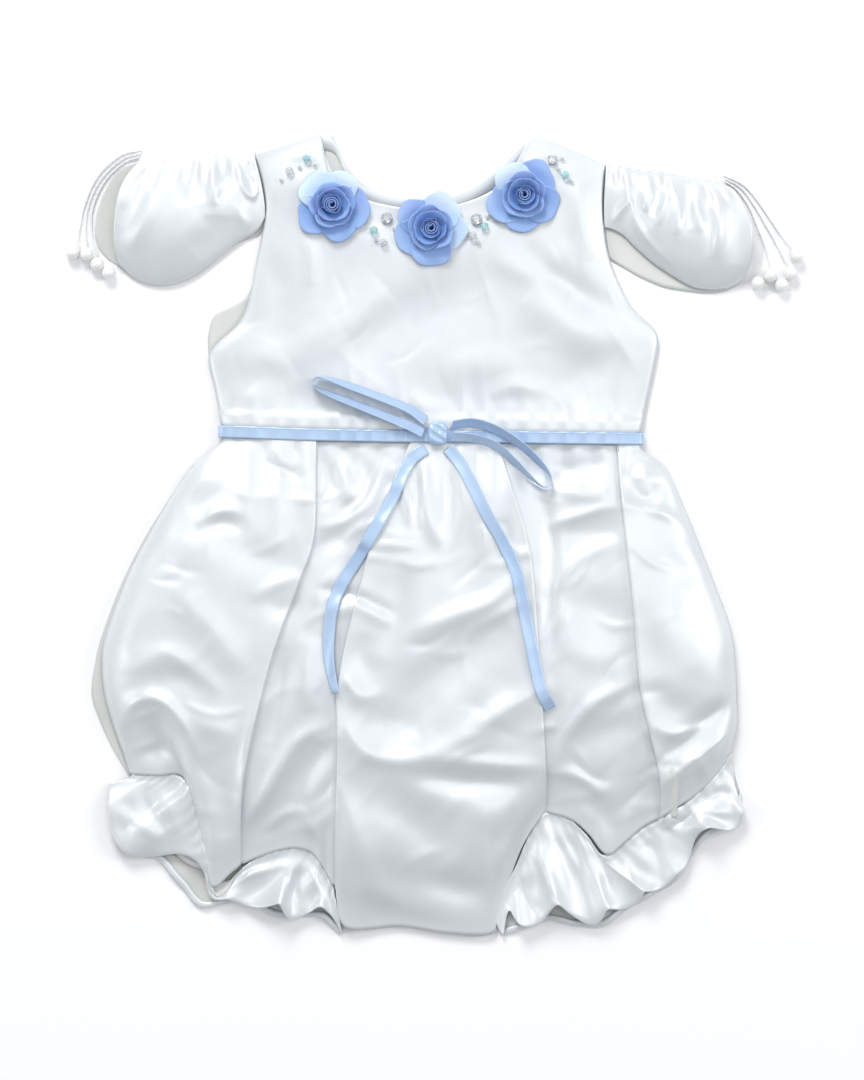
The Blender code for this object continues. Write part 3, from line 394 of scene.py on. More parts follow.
# Petal cloth: the tone follows the "depth" attribute, 0 at the outer rim and 1 in the eye.
def petalLook(name):
    look, shader = newLook(name, Roughness=0.5, Sheen_Weight=0.35, Subsurface_Weight=0.25,
                           Subsurface_Scale=0.002)
    tree = look.node_tree
    depth = tree.nodes.new("ShaderNodeAttribute")
    depth.attribute_name = "depth"
    ramp = tree.nodes.new("ShaderNodeValToRGB")
    ramp.color_ramp.elements[0].color = (0.62, 0.75, 0.90, 1)
    ramp.color_ramp.elements[1].color = (0.010, 0.07, 0.30, 1)
    stops = [(0.12, (0.50, 0.67, 0.88, 1)), (0.35, (0.30, 0.47, 0.80, 1)),
             (0.62, (0.19, 0.34, 0.70, 1)), (0.85, (0.08, 0.21, 0.53, 1))]
    for place, tone in stops:
        ramp.color_ramp.elements.new(place).color = tone
    noise = tree.nodes.new("ShaderNodeTexNoise")
    noise.inputs["Scale"].default_value = 1600
    coords = tree.nodes.new("ShaderNodeTexCoord")
    bump = tree.nodes.new("ShaderNodeBump")
    bump.inputs["Distance"].default_value = 0.0001
    bump.inputs["Strength"].default_value = 0.4
    tree.links.new(coords.outputs["Object"], noise.inputs["Vector"])
    tree.links.new(noise.outputs["Fac"], bump.inputs["Height"])
    tree.links.new(bump.outputs["Normal"], shader.inputs["Normal"])
    tree.links.new(depth.outputs["Fac"], ramp.inputs["Fac"])
    tree.links.new(ramp.outputs["Color"], shader.inputs["Base Color"])
    return look


# A small hard finish whose roughness and tone wander a little over the piece.
def hardLook(name, toneA, toneB, low, high, scale, **values):
    look, shader = newLook(name, **values)
    tree = look.node_tree
    coords, noise = tree.nodes.new("ShaderNodeTexCoord"), tree.nodes.new("ShaderNodeTexNoise")
    noise.inputs["Scale"].default_value = scale
    tree.links.new(coords.outputs["Object"], noise.inputs["Vector"])
    tone = tree.nodes.new("ShaderNodeMix")
    tone.data_type = "RGBA"
    tone.inputs[6].default_value, tone.inputs[7].default_value = (*toneA, 1), (*toneB, 1)
    gloss = tree.nodes.new("ShaderNodeMapRange")
    gloss.inputs["To Min"].default_value, gloss.inputs["To Max"].default_value = low, high
    tree.links.new(noise.outputs["Fac"], tone.inputs["Factor"])
    tree.links.new(noise.outputs["Fac"], gloss.inputs["Value"])
    tree.links.new(tone.outputs[2], shader.inputs["Base Color"])
    tree.links.new(gloss.outputs["Result"], shader.inputs["Roughness"])
    return look


# All the finishes, by short names.
def makeLooks():
    weave = makeWeave()
    return dict(
        satin=clothLook("silverSatin", weave, (0.74, 0.77, 0.79), (0.69, 0.725, 0.75), 0.37, 0.5, 0.5,
                        Metallic=0.33, Sheen_Weight=0.1, Sheen_Roughness=0.4, Specular_IOR_Level=0.6),
        # The back of the cloth: duller and rougher than its face, as satin's back is, and painted darker and
        # greener as painted shade for the insides and back layers that lie in shadow.
        shadedReverse=clothLook("satinReverseShaded", weave, (0.66, 0.68, 0.655), (0.60, 0.625, 0.60), 0.5, 0.62, 0.6,
                          Sheen_Weight=0.2, Specular_IOR_Level=0.35),
        ribbon=clothLook("blueRibbon", weave, (0.46, 0.60, 0.80), (0.40, 0.55, 0.77), 0.3, 0.4, 0.6,
                         threads=1400.0, Metallic=0.15, Sheen_Weight=0.2, Specular_IOR_Level=0.6),
        petal=petalLook("rosePetal"),
        aqua=hardLook("aquaGlass", (0.55, 0.86, 0.90), (0.70, 0.93, 0.95), 0.03, 0.1, 300,
                      Transmission_Weight=0.55, IOR=1.5),
        clear=hardLook("clearGlass", (0.86, 0.92, 0.93), (0.95, 0.97, 0.98), 0.03, 0.1, 300,
                       Transmission_Weight=0.6, IOR=1.55),
        silver=hardLook("stoneSetting", (0.55, 0.56, 0.58), (0.70, 0.71, 0.73), 0.15, 0.3, 500,
                        Metallic=1.0),
        pearl=hardLook("pearlCoat", (0.80, 0.80, 0.79), (0.86, 0.85, 0.85), 0.16, 0.24, 120,
                       Coat_Weight=0.6, Coat_Roughness=0.08, Sheen_Weight=0.1),
        string=hardLook("whiteString", (0.74, 0.755, 0.765), (0.82, 0.83, 0.84), 0.5, 0.7, 900,
                        Sheen_Weight=0.3),
        thread=hardLook("stitchThread", (0.42, 0.58, 0.82), (0.50, 0.65, 0.86), 0.4, 0.6, 900,
                        Sheen_Weight=0.3))


# Drawstrings with pearls.
stringValues = dict(
    width=1.2, floor=0.65, pearlWidth=7.4, twist=1.9, round=10, steps=150,
    routes={
        "string_left_1": (
            [(-151.8, 208.3), (-163.9, 205.2), (-175.8, 194.6), (-182.8, 180.4), (-185.8, 167.4),
             (-187.7, 156.0)],
            ["pearl_left_1"],
            0.069),
        "string_left_2": (
            [(-152.6, 206.4), (-163.2, 203.0), (-174.2, 192.8), (-181.0, 178.9), (-182.9, 165.0),
             (-181.9, 155.6)],
            ["pearl_left_2"],
            0.065),
        "string_left_3": (
            [(-153.5, 204.5), (-162.8, 200.8), (-172.6, 191.0), (-179.0, 176.6), (-179.4, 163.0),
             (-177.2, 155.4), (-176.3, 150.2)],
            ["pearl_left_3", "pearl_left_4"],
            0.0665),
        "string_right_1": (
            [(163.0, 194.8), (174.4, 189.0), (182.4, 179.6), (189.8, 168.8), (196.2, 159.4),
             (200.5, 153.9)],
            ["pearl_right_1"],
            0.0566),
        "string_right_2": (
            [(164.2, 191.2), (170.6, 186.6), (177.0, 177.4), (181.4, 167.0), (186.0, 155.0),
             (188.1, 144.1)],
            ["pearl_right_2", "pearl_right_3"],
            0.0544),
        "string_right_3": (
            [(163.6, 193.0), (172.6, 187.8), (179.8, 178.2), (186.8, 166.4), (193.4, 154.4),
             (198.1, 144.9)],
            ["pearl_right_4", "pearl_right_5"],
            0.0604)},
    pearls={
        "pearl_left_1": (-189.6, 152.4),
        "pearl_left_2": (-181.9, 151.6),
        "pearl_left_3": (-176.3, 146.2),
        "pearl_left_4": (-170.0, 141.6),
        "pearl_right_1": (202.5, 150.4),
        "pearl_right_2": (188.1, 140.0),
        "pearl_right_3": (181.6, 135.8),
        "pearl_right_4": (199.4, 141.0),
        "pearl_right_5": (194.6, 134.8)})


# A profile of three strands carried along a path, closed at both ends:
# radius = width / 2 (0.9 + 0.12 cos(3 angle - twist run)).
def twistedTube(path, width, around, twist):
    along = np.gradient(path, axis=0)
    along /= np.linalg.norm(along, axis=1, keepdims=True)
    side = np.cross(along, (0, 0, 1.0))
    side /= np.linalg.norm(side, axis=1, keepdims=True)
    up = np.cross(side, along)
    run = np.concatenate([[0], np.cumsum(np.linalg.norm(np.diff(path, axis=0), axis=1))])
    angle = np.linspace(0, 2 * pi, around, endpoint=False)
    radius = width / 2 * (0.9 + 0.12 * np.cos(3 * angle[None] - run[:, None] * twist))
    radius[[0, -1]] = 0.001
    return (path[:, None] + radius[..., None] * (np.cos(angle)[None, :, None] * side[:, None]
                                                 + np.sin(angle)[None, :, None] * up[:, None]))


# A ball of rings with a very slight wave in its radius, resting on the floor.
def makePearl(name, x, y, look):
    r = stringValues["pearlWidth"] / 2
    lat, lon = np.linspace(0, pi, 26)[:, None], np.linspace(0, 2 * pi, 36, endpoint=False)[None]
    shape = r * (1 + 0.006 * np.sin(3 * lon + 2 * lat))
    ball = np.stack([x + shape * np.sin(lat) * np.cos(lon), y + shape * np.sin(lat) * np.sin(lon),
                     r + np.minimum(shape, r) * np.cos(lat) + 0 * lon], axis=-1)
    made = addPiece(name, ball, gridFaces(26, 36, ring=True, flip=True), [look], kind="ball")
    return standsFor(made, name)


# Each string lies on the floor and rises to its pearl's middle by a smooth step over its last quarter.
def makeStrings(looks):
    pearls = {name: makePearl(name, x, y, looks["pearl"]) for name, (x, y) in stringValues["pearls"].items()}
    for name, (route, ends, length) in stringValues["routes"].items():
        places = np.linspace(0, 1, stringValues["steps"])
        plan = curveAt(route, places)
        rise = smoothStep((places - 0.75) / 0.25)
        z = stringValues["floor"] + (stringValues["pearlWidth"] / 2 - stringValues["floor"]) * rise
        path = np.column_stack([plan, z])
        tube = twistedTube(path, stringValues["width"], stringValues["round"], stringValues["twist"])
        made = addPiece(name, tube, gridFaces(*tube.shape[:2], ring=True), [looks["string"]], kind="cord")
        standsFor(made, name)
        [pearls[end] for end in ends]


# The bodice. Crease rows: half width, rise, sharpness,
# then x and y of each point. Gathers: place, width, length, rise.
bodiceValues = dict(
    rows=110, columns=170, backRows=70, backColumns=90, height=150.0, hem=9.0, backHem=0.75,
    # The rise, the lip at its rim, and how far in it eases from the sides, the neck and the waist.
    puff=2.8, lip=0.6, sideRound=20, neckEase=25, waistEase=22, waistSide=14, lowest=-0.3,
    # How far from the sides and the neck the creases start; small wrinkles: count, corners, heading,
    # spread, rise, seed; uneven rest: rise, size, seed.
    freeSide=10, freeNeck=12, creaseRise=1.0, wrinkles=(24, (-100, 60, 115, 190), 70, 60, 0.3, 43),
    uneven=[(0.16, 46, 3), (0.03, 13, 4)],
    # The gathers' share, lean, start over the seam, and how far they ease in from the side and the seam.
    gatherShare=0.85, gatherLean=0.12, gatherLevel=52, gatherStart=3.0, gatherSide=6, gatherEase=4.5,
    left=[(-108.3, 55.5), (-112.6, 78.7), (-115.9, 94.9), (-111.6, 103), (-99.7, 114.4), (-94.3, 126.3),
          (-91, 142.5), (-87.8, 158.7), (-85.1, 173.2), (-86.7, 188.4), (-91, 206.2)],
    leftBack=[(-108.3, 55.5), (-112.6, 78.7), (-116.2, 97.6), (-115.9, 110.1), (-112.6, 118.7),
              (-105.1, 122.5), (-96.4, 127.9), (-91.6, 138.1), (-87.8, 158.7), (-85.1, 173.2),
              (-86.7, 188.4), (-91, 206.2)],
    right=[(117.4, 51.5), (121.7, 72.3), (125.5, 90.1), (127.7, 104.7), (124.4, 112.2), (117.9, 118.2),
           (110.7, 127.3), (101.7, 147.9), (98.5, 165.1), (98, 180.3), (99, 199.7)],
    neck=[(-91, 206.2), (-71.6, 212.7), (-56.5, 217.2), (-54.3, 208.9), (-47.3, 193.8), (-33.8, 182.4),
          (-14.9, 177), (4, 175.9), (22.9, 179.2), (39.1, 186.7), (49.9, 199.2), (56.4, 211.6),
          (61.2, 215.4), (76.4, 209.4), (99, 199.7)],
    neckBack=[(-91, 206.2), (-71.6, 212.7), (-56.5, 217.2), (-47.8, 214.3), (-43, 201.9), (-31.6, 188.9),
              (-8.4, 183), (7.2, 183), (19.1, 185.7), (32.1, 192.1), (44.5, 201.9), (51.5, 210),
              (61.2, 215.4), (76.4, 209.4), (99, 199.7)],
    creases=[(17, -3.0, 0.0, 34, 134, 4, 124, -18, 108, -34, 90),
             (11, 2.0, 0.0, -70, 92, -46, 110, -20, 133), (8, 1.4, 0.0, 36, 152, 56, 143, 74, 150),
             (11, 2.3, 0.0, 56, 130, 78, 113, 104, 98), (13, -2.9, 0.0, 108, 100, 90, 88, 74, 72),
             (7, -2.0, 0.0, 54, 154, 76, 137, 102, 121), (4, 1.2, 0.2, -62, 160, -60, 148, -61, 134),
             (9, -1.2, 0.0, -84, 150, -76, 128, -84, 104), (8, 1.2, 0.0, -100, 92, -84, 96, -70, 88),
             (10, 1.6, 0.0, 10, 84, 30, 92, 52, 92), (5, 1.2, 0.1, -8, 76, 0, 70, 10, 68),
             (4, 0.8, 0.2, -72, 204, -62, 206, -52, 200), (6, 1.4, 0.2, 84, 190, 86, 168, 92, 148),
             (7, 1.0, 0.1, -108, 76, -92, 74, -74, 78), (5, 1.3, 0.2, 36, 74, 50, 80, 66, 76)],
    gathers=[(-100, 3.5, 10, 0.7), (-89, 3, 14, 0.8), (-77, 2.5, 9, 0.5), (-66, 3.5, 12, 0.7),
             (-55, 3, 8, 0.5), (-44, 3, 18, 1.1), (-35, 2.4, 22, 1.2), (-27, 2.6, 15, 0.9),
             (-18, 3, 10, 0.6), (-9, 2.6, 16, 1.6), (2, 3, 10, 0.8), (14, 3, 9, 0.8), (25, 2.4, 16, 1.7),
             (36, 2.6, 20, 1.2), (47, 3, 13, 0.8), (58, 3.4, 18, 1.0), (69, 2.6, 12, 0.8),
             (79, 3, 20, 1.1), (90, 3, 12, 0.8), (100, 2.6, 16, 0.9), (109, 3, 10, 0.7)])


# A bodice panel seen from above: its neck edge is spread evenly in x, and its bottom is the waist seam.
def bodicePlan(left, neck, across, down):
    dense = curveAt(neck, np.linspace(0, 1, 401))
    rising = np.maximum.accumulate(dense[:, 0] + np.linspace(0, 1e-3, 401))
    even = np.linspace(rising[0], rising[-1], 201)
    byX = np.interp(even, rising, np.linspace(0, 1, 401))
    top = curveAt(neck, np.interp(across, np.linspace(0, 1, 201), byX))
    bottom = waistPart(waistSeam[0][0], waistSeam[-1][0], across)
    bottom[:, 1] += layers["seamGap"] / 2
    return panelPlan(left[::-1], bodiceValues["right"][::-1], top, bottom, across, down)


# Front: a level rest plus a round rise in from each side, eased up to the waist seam, with creases and
# gathers. Back: flat, one step up over the ribbon.
def makeBodice(looks):
    v = bodiceValues
    across = np.linspace(0, 1, v["columns"])
    down = 1 - seamRows(v["rows"] - 1, v["height"])[::-1]
    plan = bodicePlan(v["left"], v["neck"], across, down)
    x, y = plan[..., 0], plan[..., 1]
    side, fromNeck, fromSeam = np.minimum(x - x[:, :1], x[:, -1:] - x), y[:1] - y, y - y[-1:]
    rest = layers["restMid"] + backLift(x, y, layers["backSpread"])
    puffed = rest + quarterRound(side / v["sideRound"]) * (
        v["lip"] + v["puff"] * smoothStep(fromNeck / v["neckEase"]))
    toWaist = (1 - smoothStep(fromSeam / v["waistEase"])) * np.clip(side / v["waistSide"], 0, 1)
    z = puffed + (layers["waistMid"] - puffed) * toWaist
    z += smoothStep(side / v["freeSide"]) * smoothStep(fromNeck / v["freeNeck"]) * clothBumps(x, y, v)
    leaning = x + v["gatherLean"] * (y - v["gatherLevel"])
    gathers = v["gatherShare"] * gatherRise(leaning, fromSeam - v["gatherStart"], v["gathers"])
    z += gathers * smoothStep(side / v["gatherSide"]) * smoothStep(fromSeam / v["gatherEase"])
    z = np.maximum(z, layers["restMid"] + v["lowest"])
    z[-1] = z[-2]
    grid = turnedHem(np.dstack([plan, z])[::-1], v["hem"])
    front = clothPiece("bodice_front", grid, [looks["satin"], looks["shadedReverse"]])

    across = np.linspace(0, 1, v["backColumns"])
    down = 1 - seamRows(v["backRows"], v["height"])[::-1]
    plan = bodicePlan(v["leftBack"], v["neckBack"], across, down)
    x, y = plan[..., 0], plan[..., 1]
    grid = np.dstack([plan, backLift(x, y) + layers["backMid"]])
    back = clothPiece("bodice_back", turnedHem(grid[::-1], v["hem"], side=1, gap=v["backHem"]),
                      [looks["satin"], looks["shadedReverse"]], faceUp=False)
    return front, back


# The bloomer, with rows as in the bodice.
bloomerValues = dict(
    rows=132, columns=[52, 24, 64, 30, 28], backRows=90, backColumns=120, height=250.0,
    # The rise over the waist's height, as a share at fractions of the way down, and the leg edges' height.
    puff=13.0, riseAt=[0, 0.03, 0.16, 0.4, 0.66, 0.86, 1], riseShare=[0, 0, 0.5, 0.85, 1.0, 0.7, 0.0],
    legMid=6.9, crotchLift=0.4, sideRound=36.0,
    # Pleats: the step between layers, how far one runs under, the swell of a fold edge, and the sunk part.
    step=1.1, under=9.0, edgeSwell=1.1, swellWidth=7, recess=1.8,
    creaseRise=1.1, wrinkles=(84, (-165, -190, 160, 34), 25, 60, 0.95, 41),
    uneven=[(0.4, 50, 11), (0.07, 16, 12)], gatherShare=0.8,
    sideLeft=[(-108.3, 55.5), (-109.2, 49.8), (-117.5, 43.6), (-128.8, 31.8), (-145.6, 4.8),
              (-160.2, -23.3), (-171.5, -54.1), (-173.9, -70.3), (-172.6, -86.5), (-168.3, -102.7),
              (-162.9, -117.8), (-158.8, -130.2)],
    sideLeftBack=[(-108.3, 55.5), (-109.2, 49.8), (-117.5, 43.6), (-128.8, 31.8), (-146.7, 4.8),
                  (-161.8, -23.3), (-173.7, -54.1), (-178, -71.9), (-179.6, -87), (-175.8, -99.5),
                  (-169.3, -114), (-158.8, -132.4)],
    sideRight=[(117.4, 51.5), (118.6, 46.0), (125.0, 41.4), (132.6, 34.6), (143.9, 9.1), (157.4, -24.9),
               (166.8, -50.9), (169.5, -69.8), (170.3, -90.3), (170.3, -104.3), (165.5, -121.6)],
    pleats=[
        [(-57.6, 53.6), (-57.6, 37.2), (-58.6, -1.2), (-66.7, -26.6), (-80.8, -65.4), (-93.2, -115.1),
         (-97.5, -142.7), (-98.6, -179.4)],
        [(-5.7, 52.8), (-16.5, 24.7), (-26.2, -0.6), (-39.2, -49.8), (-45.7, -82.7), (-45.7, -116.2),
         (-46.8, -154.5), (-47.3, -192.3)],
        [(40.7, 52.3), (45, 35.5), (55.3, 2.1), (59.6, -23.3), (63.9, -84.3), (66.6, -132.4),
         (66.1, -150.2)],
        [(105, 51.7), (107.7, 15.6), (113.6, -40.6), (117.4, -84.3), (127.7, -130.2), (128.7, -153.5)]],
    lowerEdges=[
        [(-158.8, -130.2), (-142.9, -130.8), (-128.8, -131.9), (-121.3, -157.8), (-115.3, -185.9),
         (-112.1, -191.3), (-104, -183.7), (-98.6, -179.4)],
        [(-98.6, -179.4), (-90.5, -175.6), (-79.7, -171.8), (-67.3, -170.2), (-57.6, -175.1),
         (-47.3, -192.3)],
        [(-47.3, -192.3), (-41.4, -213.4), (-12.2, -212.9), (13.2, -216.6), (36.4, -217.2),
         (40.7, -209.6), (49.9, -179.4), (56.9, -163.7), (66.1, -150.2)],
        [(66.1, -150.2), (81.2, -155.1), (90.4, -163.2), (100.1, -174), (109.3, -167), (119, -158.9),
         (128.7, -153.5)],
        [(128.7, -153.5), (139, -147), (149.8, -139.4), (158.4, -130.8), (165.5, -121.6)]],
    backLower=[(-158.8, -132.4), (-147.2, -151.8), (-135.3, -169.7), (-120.2, -179.4), (-98.6, -177.2),
               (-71.6, -181), (-52.7, -196.1), (-41.4, -213.9), (-12.2, -213.2), (13.2, -216.4),
               (36.4, -216.7), (40.7, -211.2), (49.9, -196.1), (74.2, -182.6), (101.2, -186.9),
               (122.8, -176.1), (144.4, -152.4), (157.9, -138.3), (165.5, -121.6)],
    creases=[
        # left panel
        (4, 1.8, 0.5, -122, 5, -110, 12, -98, 12), (4, -1.6, 0.1, -118, 2, -106, 6, -96, 2),
        (3.5, -1.7, 0.4, -84, 40, -76, 35, -66, 31), (11, 1.3, 0.0, -132, 0, -114, -11, -98, -17),
        (9, -1.6, 0.0, -100, -6, -82, -13, -66, -9), (4, 1.3, 0.3, -92, -35, -80, -28, -66, -23),
        (5, -1.0, 0.1, -84, -38, -74, -40, -66, -36), (8, 1.5, 0.1, -136, -30, -114, -50, -96, -74),
        (6, 1.6, 0.3, -154, -73, -138, -64, -122, -75, -108, -85),
        (7, -1.8, 0.0, -148, -80, -130, -77, -116, -86),
        (4.5, 2.8, 0.4, -163, -106, -158, -94, -148, -88, -137, -92, -127, -105, -121, -118),
        (9, -4.2, 0.0, -150, -98, -144, -112, -143, -128),
        (7, 1.5, 0.1, -130, -95, -116, -103, -100, -108),
        (9, -2.4, 0.0, -114, -118, -108, -140, -106, -164),
        (3.2, 1.5, 0.5, -90, -92, -95, -115, -98, -150), (7, -1.2, 0.0, -100, 34, -110, 22, -126, 12),
        (8, 1.2, 0.0, -150, -30, -158, -52, -158, -76),
        # left pleat
        (5, 3.2, 0.4, -50, -103, -66, -110, -76, -124, -86, -142, -98, -158),
        (7, -2.6, 0.0, -52, -113, -64, -130, -70, -148), (3, 1.4, 0.4, -84, -160, -76, -152, -68, -150),
        (3.5, 1.4, 0.4, -66, -146, -62, -156, -56, -166), (6, 1.9, 0.1, -60, -56, -63, -76, -62, -96),
        (6, -2.0, 0.0, -75, -60, -77, -85, -82, -112), (4, 2.4, 0.2, -45, 45, -42, 30, -39, 17),
        (4.5, -2.2, 0.1, -51, 42, -51, 27, -55, 13), (3.5, -2.0, 0.2, -34, 44, -30, 32, -34, 20, -45, 10),
        (3.5, 1.7, 0.4, -20, 42, -24, 28, -30, 16, -42, 7, -57, 3),
        (5, -1.5, 0.0, -60, -10, -48, -4, -36, 2), (3.2, -1.9, 0.4, -57, -30, -40, -32, -16, -43),
        (3.5, 1.3, 0.3, -44, -44, -36, -38, -16, -49),
        # middle panel
        (3.5, 2.2, 0.2, -15, 38, -8, 18, -5, 2), (2.8, -1.6, 0.2, -3, 42, -3, 20, -4, 0),
        (2.8, 1.4, 0.5, -27, -6, -14, -6, -4, -7), (4, 2.0, 0.2, 1, 40, 2, 12, 10, -6),
        (4, -1.9, 0.1, 13, 36, 16, 14, 12, -4), (6, 1.4, 0.1, 26, 36, 30, 14, 34, -10),
        (3, 1.0, 0.4, -14, -14, -4, -17, 8, -15), (7, -1.3, 0.0, -10, -22, -14, -44, -20, -66),
        (6, 2.7, 0.3, 53, -21, 38, -36, 18, -44, -6, -54), (4, 1.4, 0.3, 57, -33, 44, -42, 28, -51),
        (12, -3.4, 0.0, 48, -51, 24, -64, 2, -84, -12, -106), (5, 2.0, 0.3, -42, -76, -34, -87, -24, -86),
        (6, -1.2, 0.0, -30, -54, -33, -66, -26, -78), (7, 3.0, 0.3, 64, -83, 42, -96, 20, -112, 0, -121),
        (5, 2.4, 0.4, -42, -102, -33, -116, -16, -122, 8, -120),
        (9, -2.2, 0.0, -30, -97, -16, -105, 0, -103), (4.5, 2.2, 0.4, 6, -120, 36, -124, 64, -126),
        (6, -3.3, 0.0, -4, -130, 24, -134, 54, -134), (9, 1.8, 0.0, 22, -147, 44, -151, 62, -142),
        (12, -3.0, 0.0, -26, -138, 0, -158, 16, -176),
        (6, 1.7, 0.1, -46, -130, -40, -150, -32, -172, -24, -192),
        (8, 2.9, 0.2, -34, -188, -8, -202, 24, -213), (8, -2.6, 0.0, -2, -184, 18, -191, 36, -196),
        (5, 1.6, 0.2, 54, -152, 42, -176, 36, -200),
        # right pleat
        (5, 1.8, 0.1, 70, 24, 84, 22, 100, 22), (5, -1.6, 0.0, 70, 35, 84, 36, 100, 40),
        (3.5, 1.8, 0.4, 67, 4, 84, 10, 105, 16), (7, -2.0, 0.0, 74, -4, 90, 0, 105, 3),
        (4, 1.6, 0.3, 72, -30, 82, -16, 92, -9, 106, -4), (11, -2.0, 0.0, 76, -44, 90, -40, 106, -48),
        (9, 1.2, 0.0, 76, -60, 90, -66, 106, -64), (4, -2.4, 0.1, 64, 22, 70, -8, 68, -40, 69, -62),
        (5, 2.9, 0.4, 70, -126, 78, -107, 92, -91, 108, -82),
        (8, -1.8, 0.0, 84, -118, 98, -107, 113, -100), (4, 1.8, 0.3, 68, -128, 84, -131, 98, -141),
        (7, -2.2, 0.0, 92, -142, 100, -156, 101, -170),
        # right panel
        (5.5, -2.6, 0.1, 112, 40, 113, 25, 121, 18, 131, 27),
        (3.6, 2.0, 0.5, 107, 16, 120, 14, 132, 10, 144, 3), (7, -1.0, 0.0, 132, -10, 138, -20, 148, -24),
        (12, 1.3, 0.0, 128, -40, 140, -56, 156, -60), (7, -1.4, 0.0, 122, -80, 132, -92, 146, -96),
        (3.6, 2.2, 0.4, 123, -103, 136, -108, 152, -103),
        (6, -3.8, 0.1, 130, -121, 141, -112, 153, -100, 168, -91),
        (4, 2.9, 0.5, 129, -135, 146, -122, 160, -112, 171, -103),
        (3, 1.6, 0.4, 146, -119, 152, -128, 156, -138)],
    gathers=[(-103, 3, 14, 0.9), (-95, 3.4, 30, 1.5), (-86, 2.6, 18, -1.0), (-78, 3.6, 36, 1.6),
             (-69, 2.6, 22, -1.2), (-62, 3, 26, 1.3), (-51, 3, 30, 1.2), (-43, 2.6, 20, -1.0),
             (-34, 3.4, 38, 1.5), (-25, 2.6, 22, -1.1), (-17, 3, 28, 1.2), (-2, 3.4, 24, 1.0),
             (10, 3, 34, 1.2), (21, 3, 30, 1.5), (30, 2.6, 20, -1.1), (37, 2.6, 26, 1.2),
             (49, 3, 34, 1.4), (58, 2.6, 24, -1.0), (66, 3.4, 40, 1.5), (75, 2.6, 20, -1.1),
             (83, 3, 28, 1.4), (91, 2.6, 20, -1.0), (98, 3, 24, 1.2), (110, 2.6, 20, 1.0)],
    legWaves=[3, 4, 2, 4, 3], legRise=[0.35, 0.6, 0.25, 0.55, 0.4])


# The fold where one panel turns under the next: two half rounds joined by a straight, as a sideways
# shift and a drop.
def pleatTurn(overLeft):
    r, w = bloomerValues["step"] / 2, bloomerValues["under"]
    turn = np.radians(np.linspace(0, 180, 6))
    outer = np.stack([-r + r * np.sin(turn), -r + r * np.cos(turn)], axis=-1)
    hidden = np.stack([-w + r - r * np.sin(turn), -3 * r + r * np.cos(turn)], axis=-1)
    profile = np.vstack([outer, hidden])
    return profile if overLeft else profile[::-1] * (-1, 1)


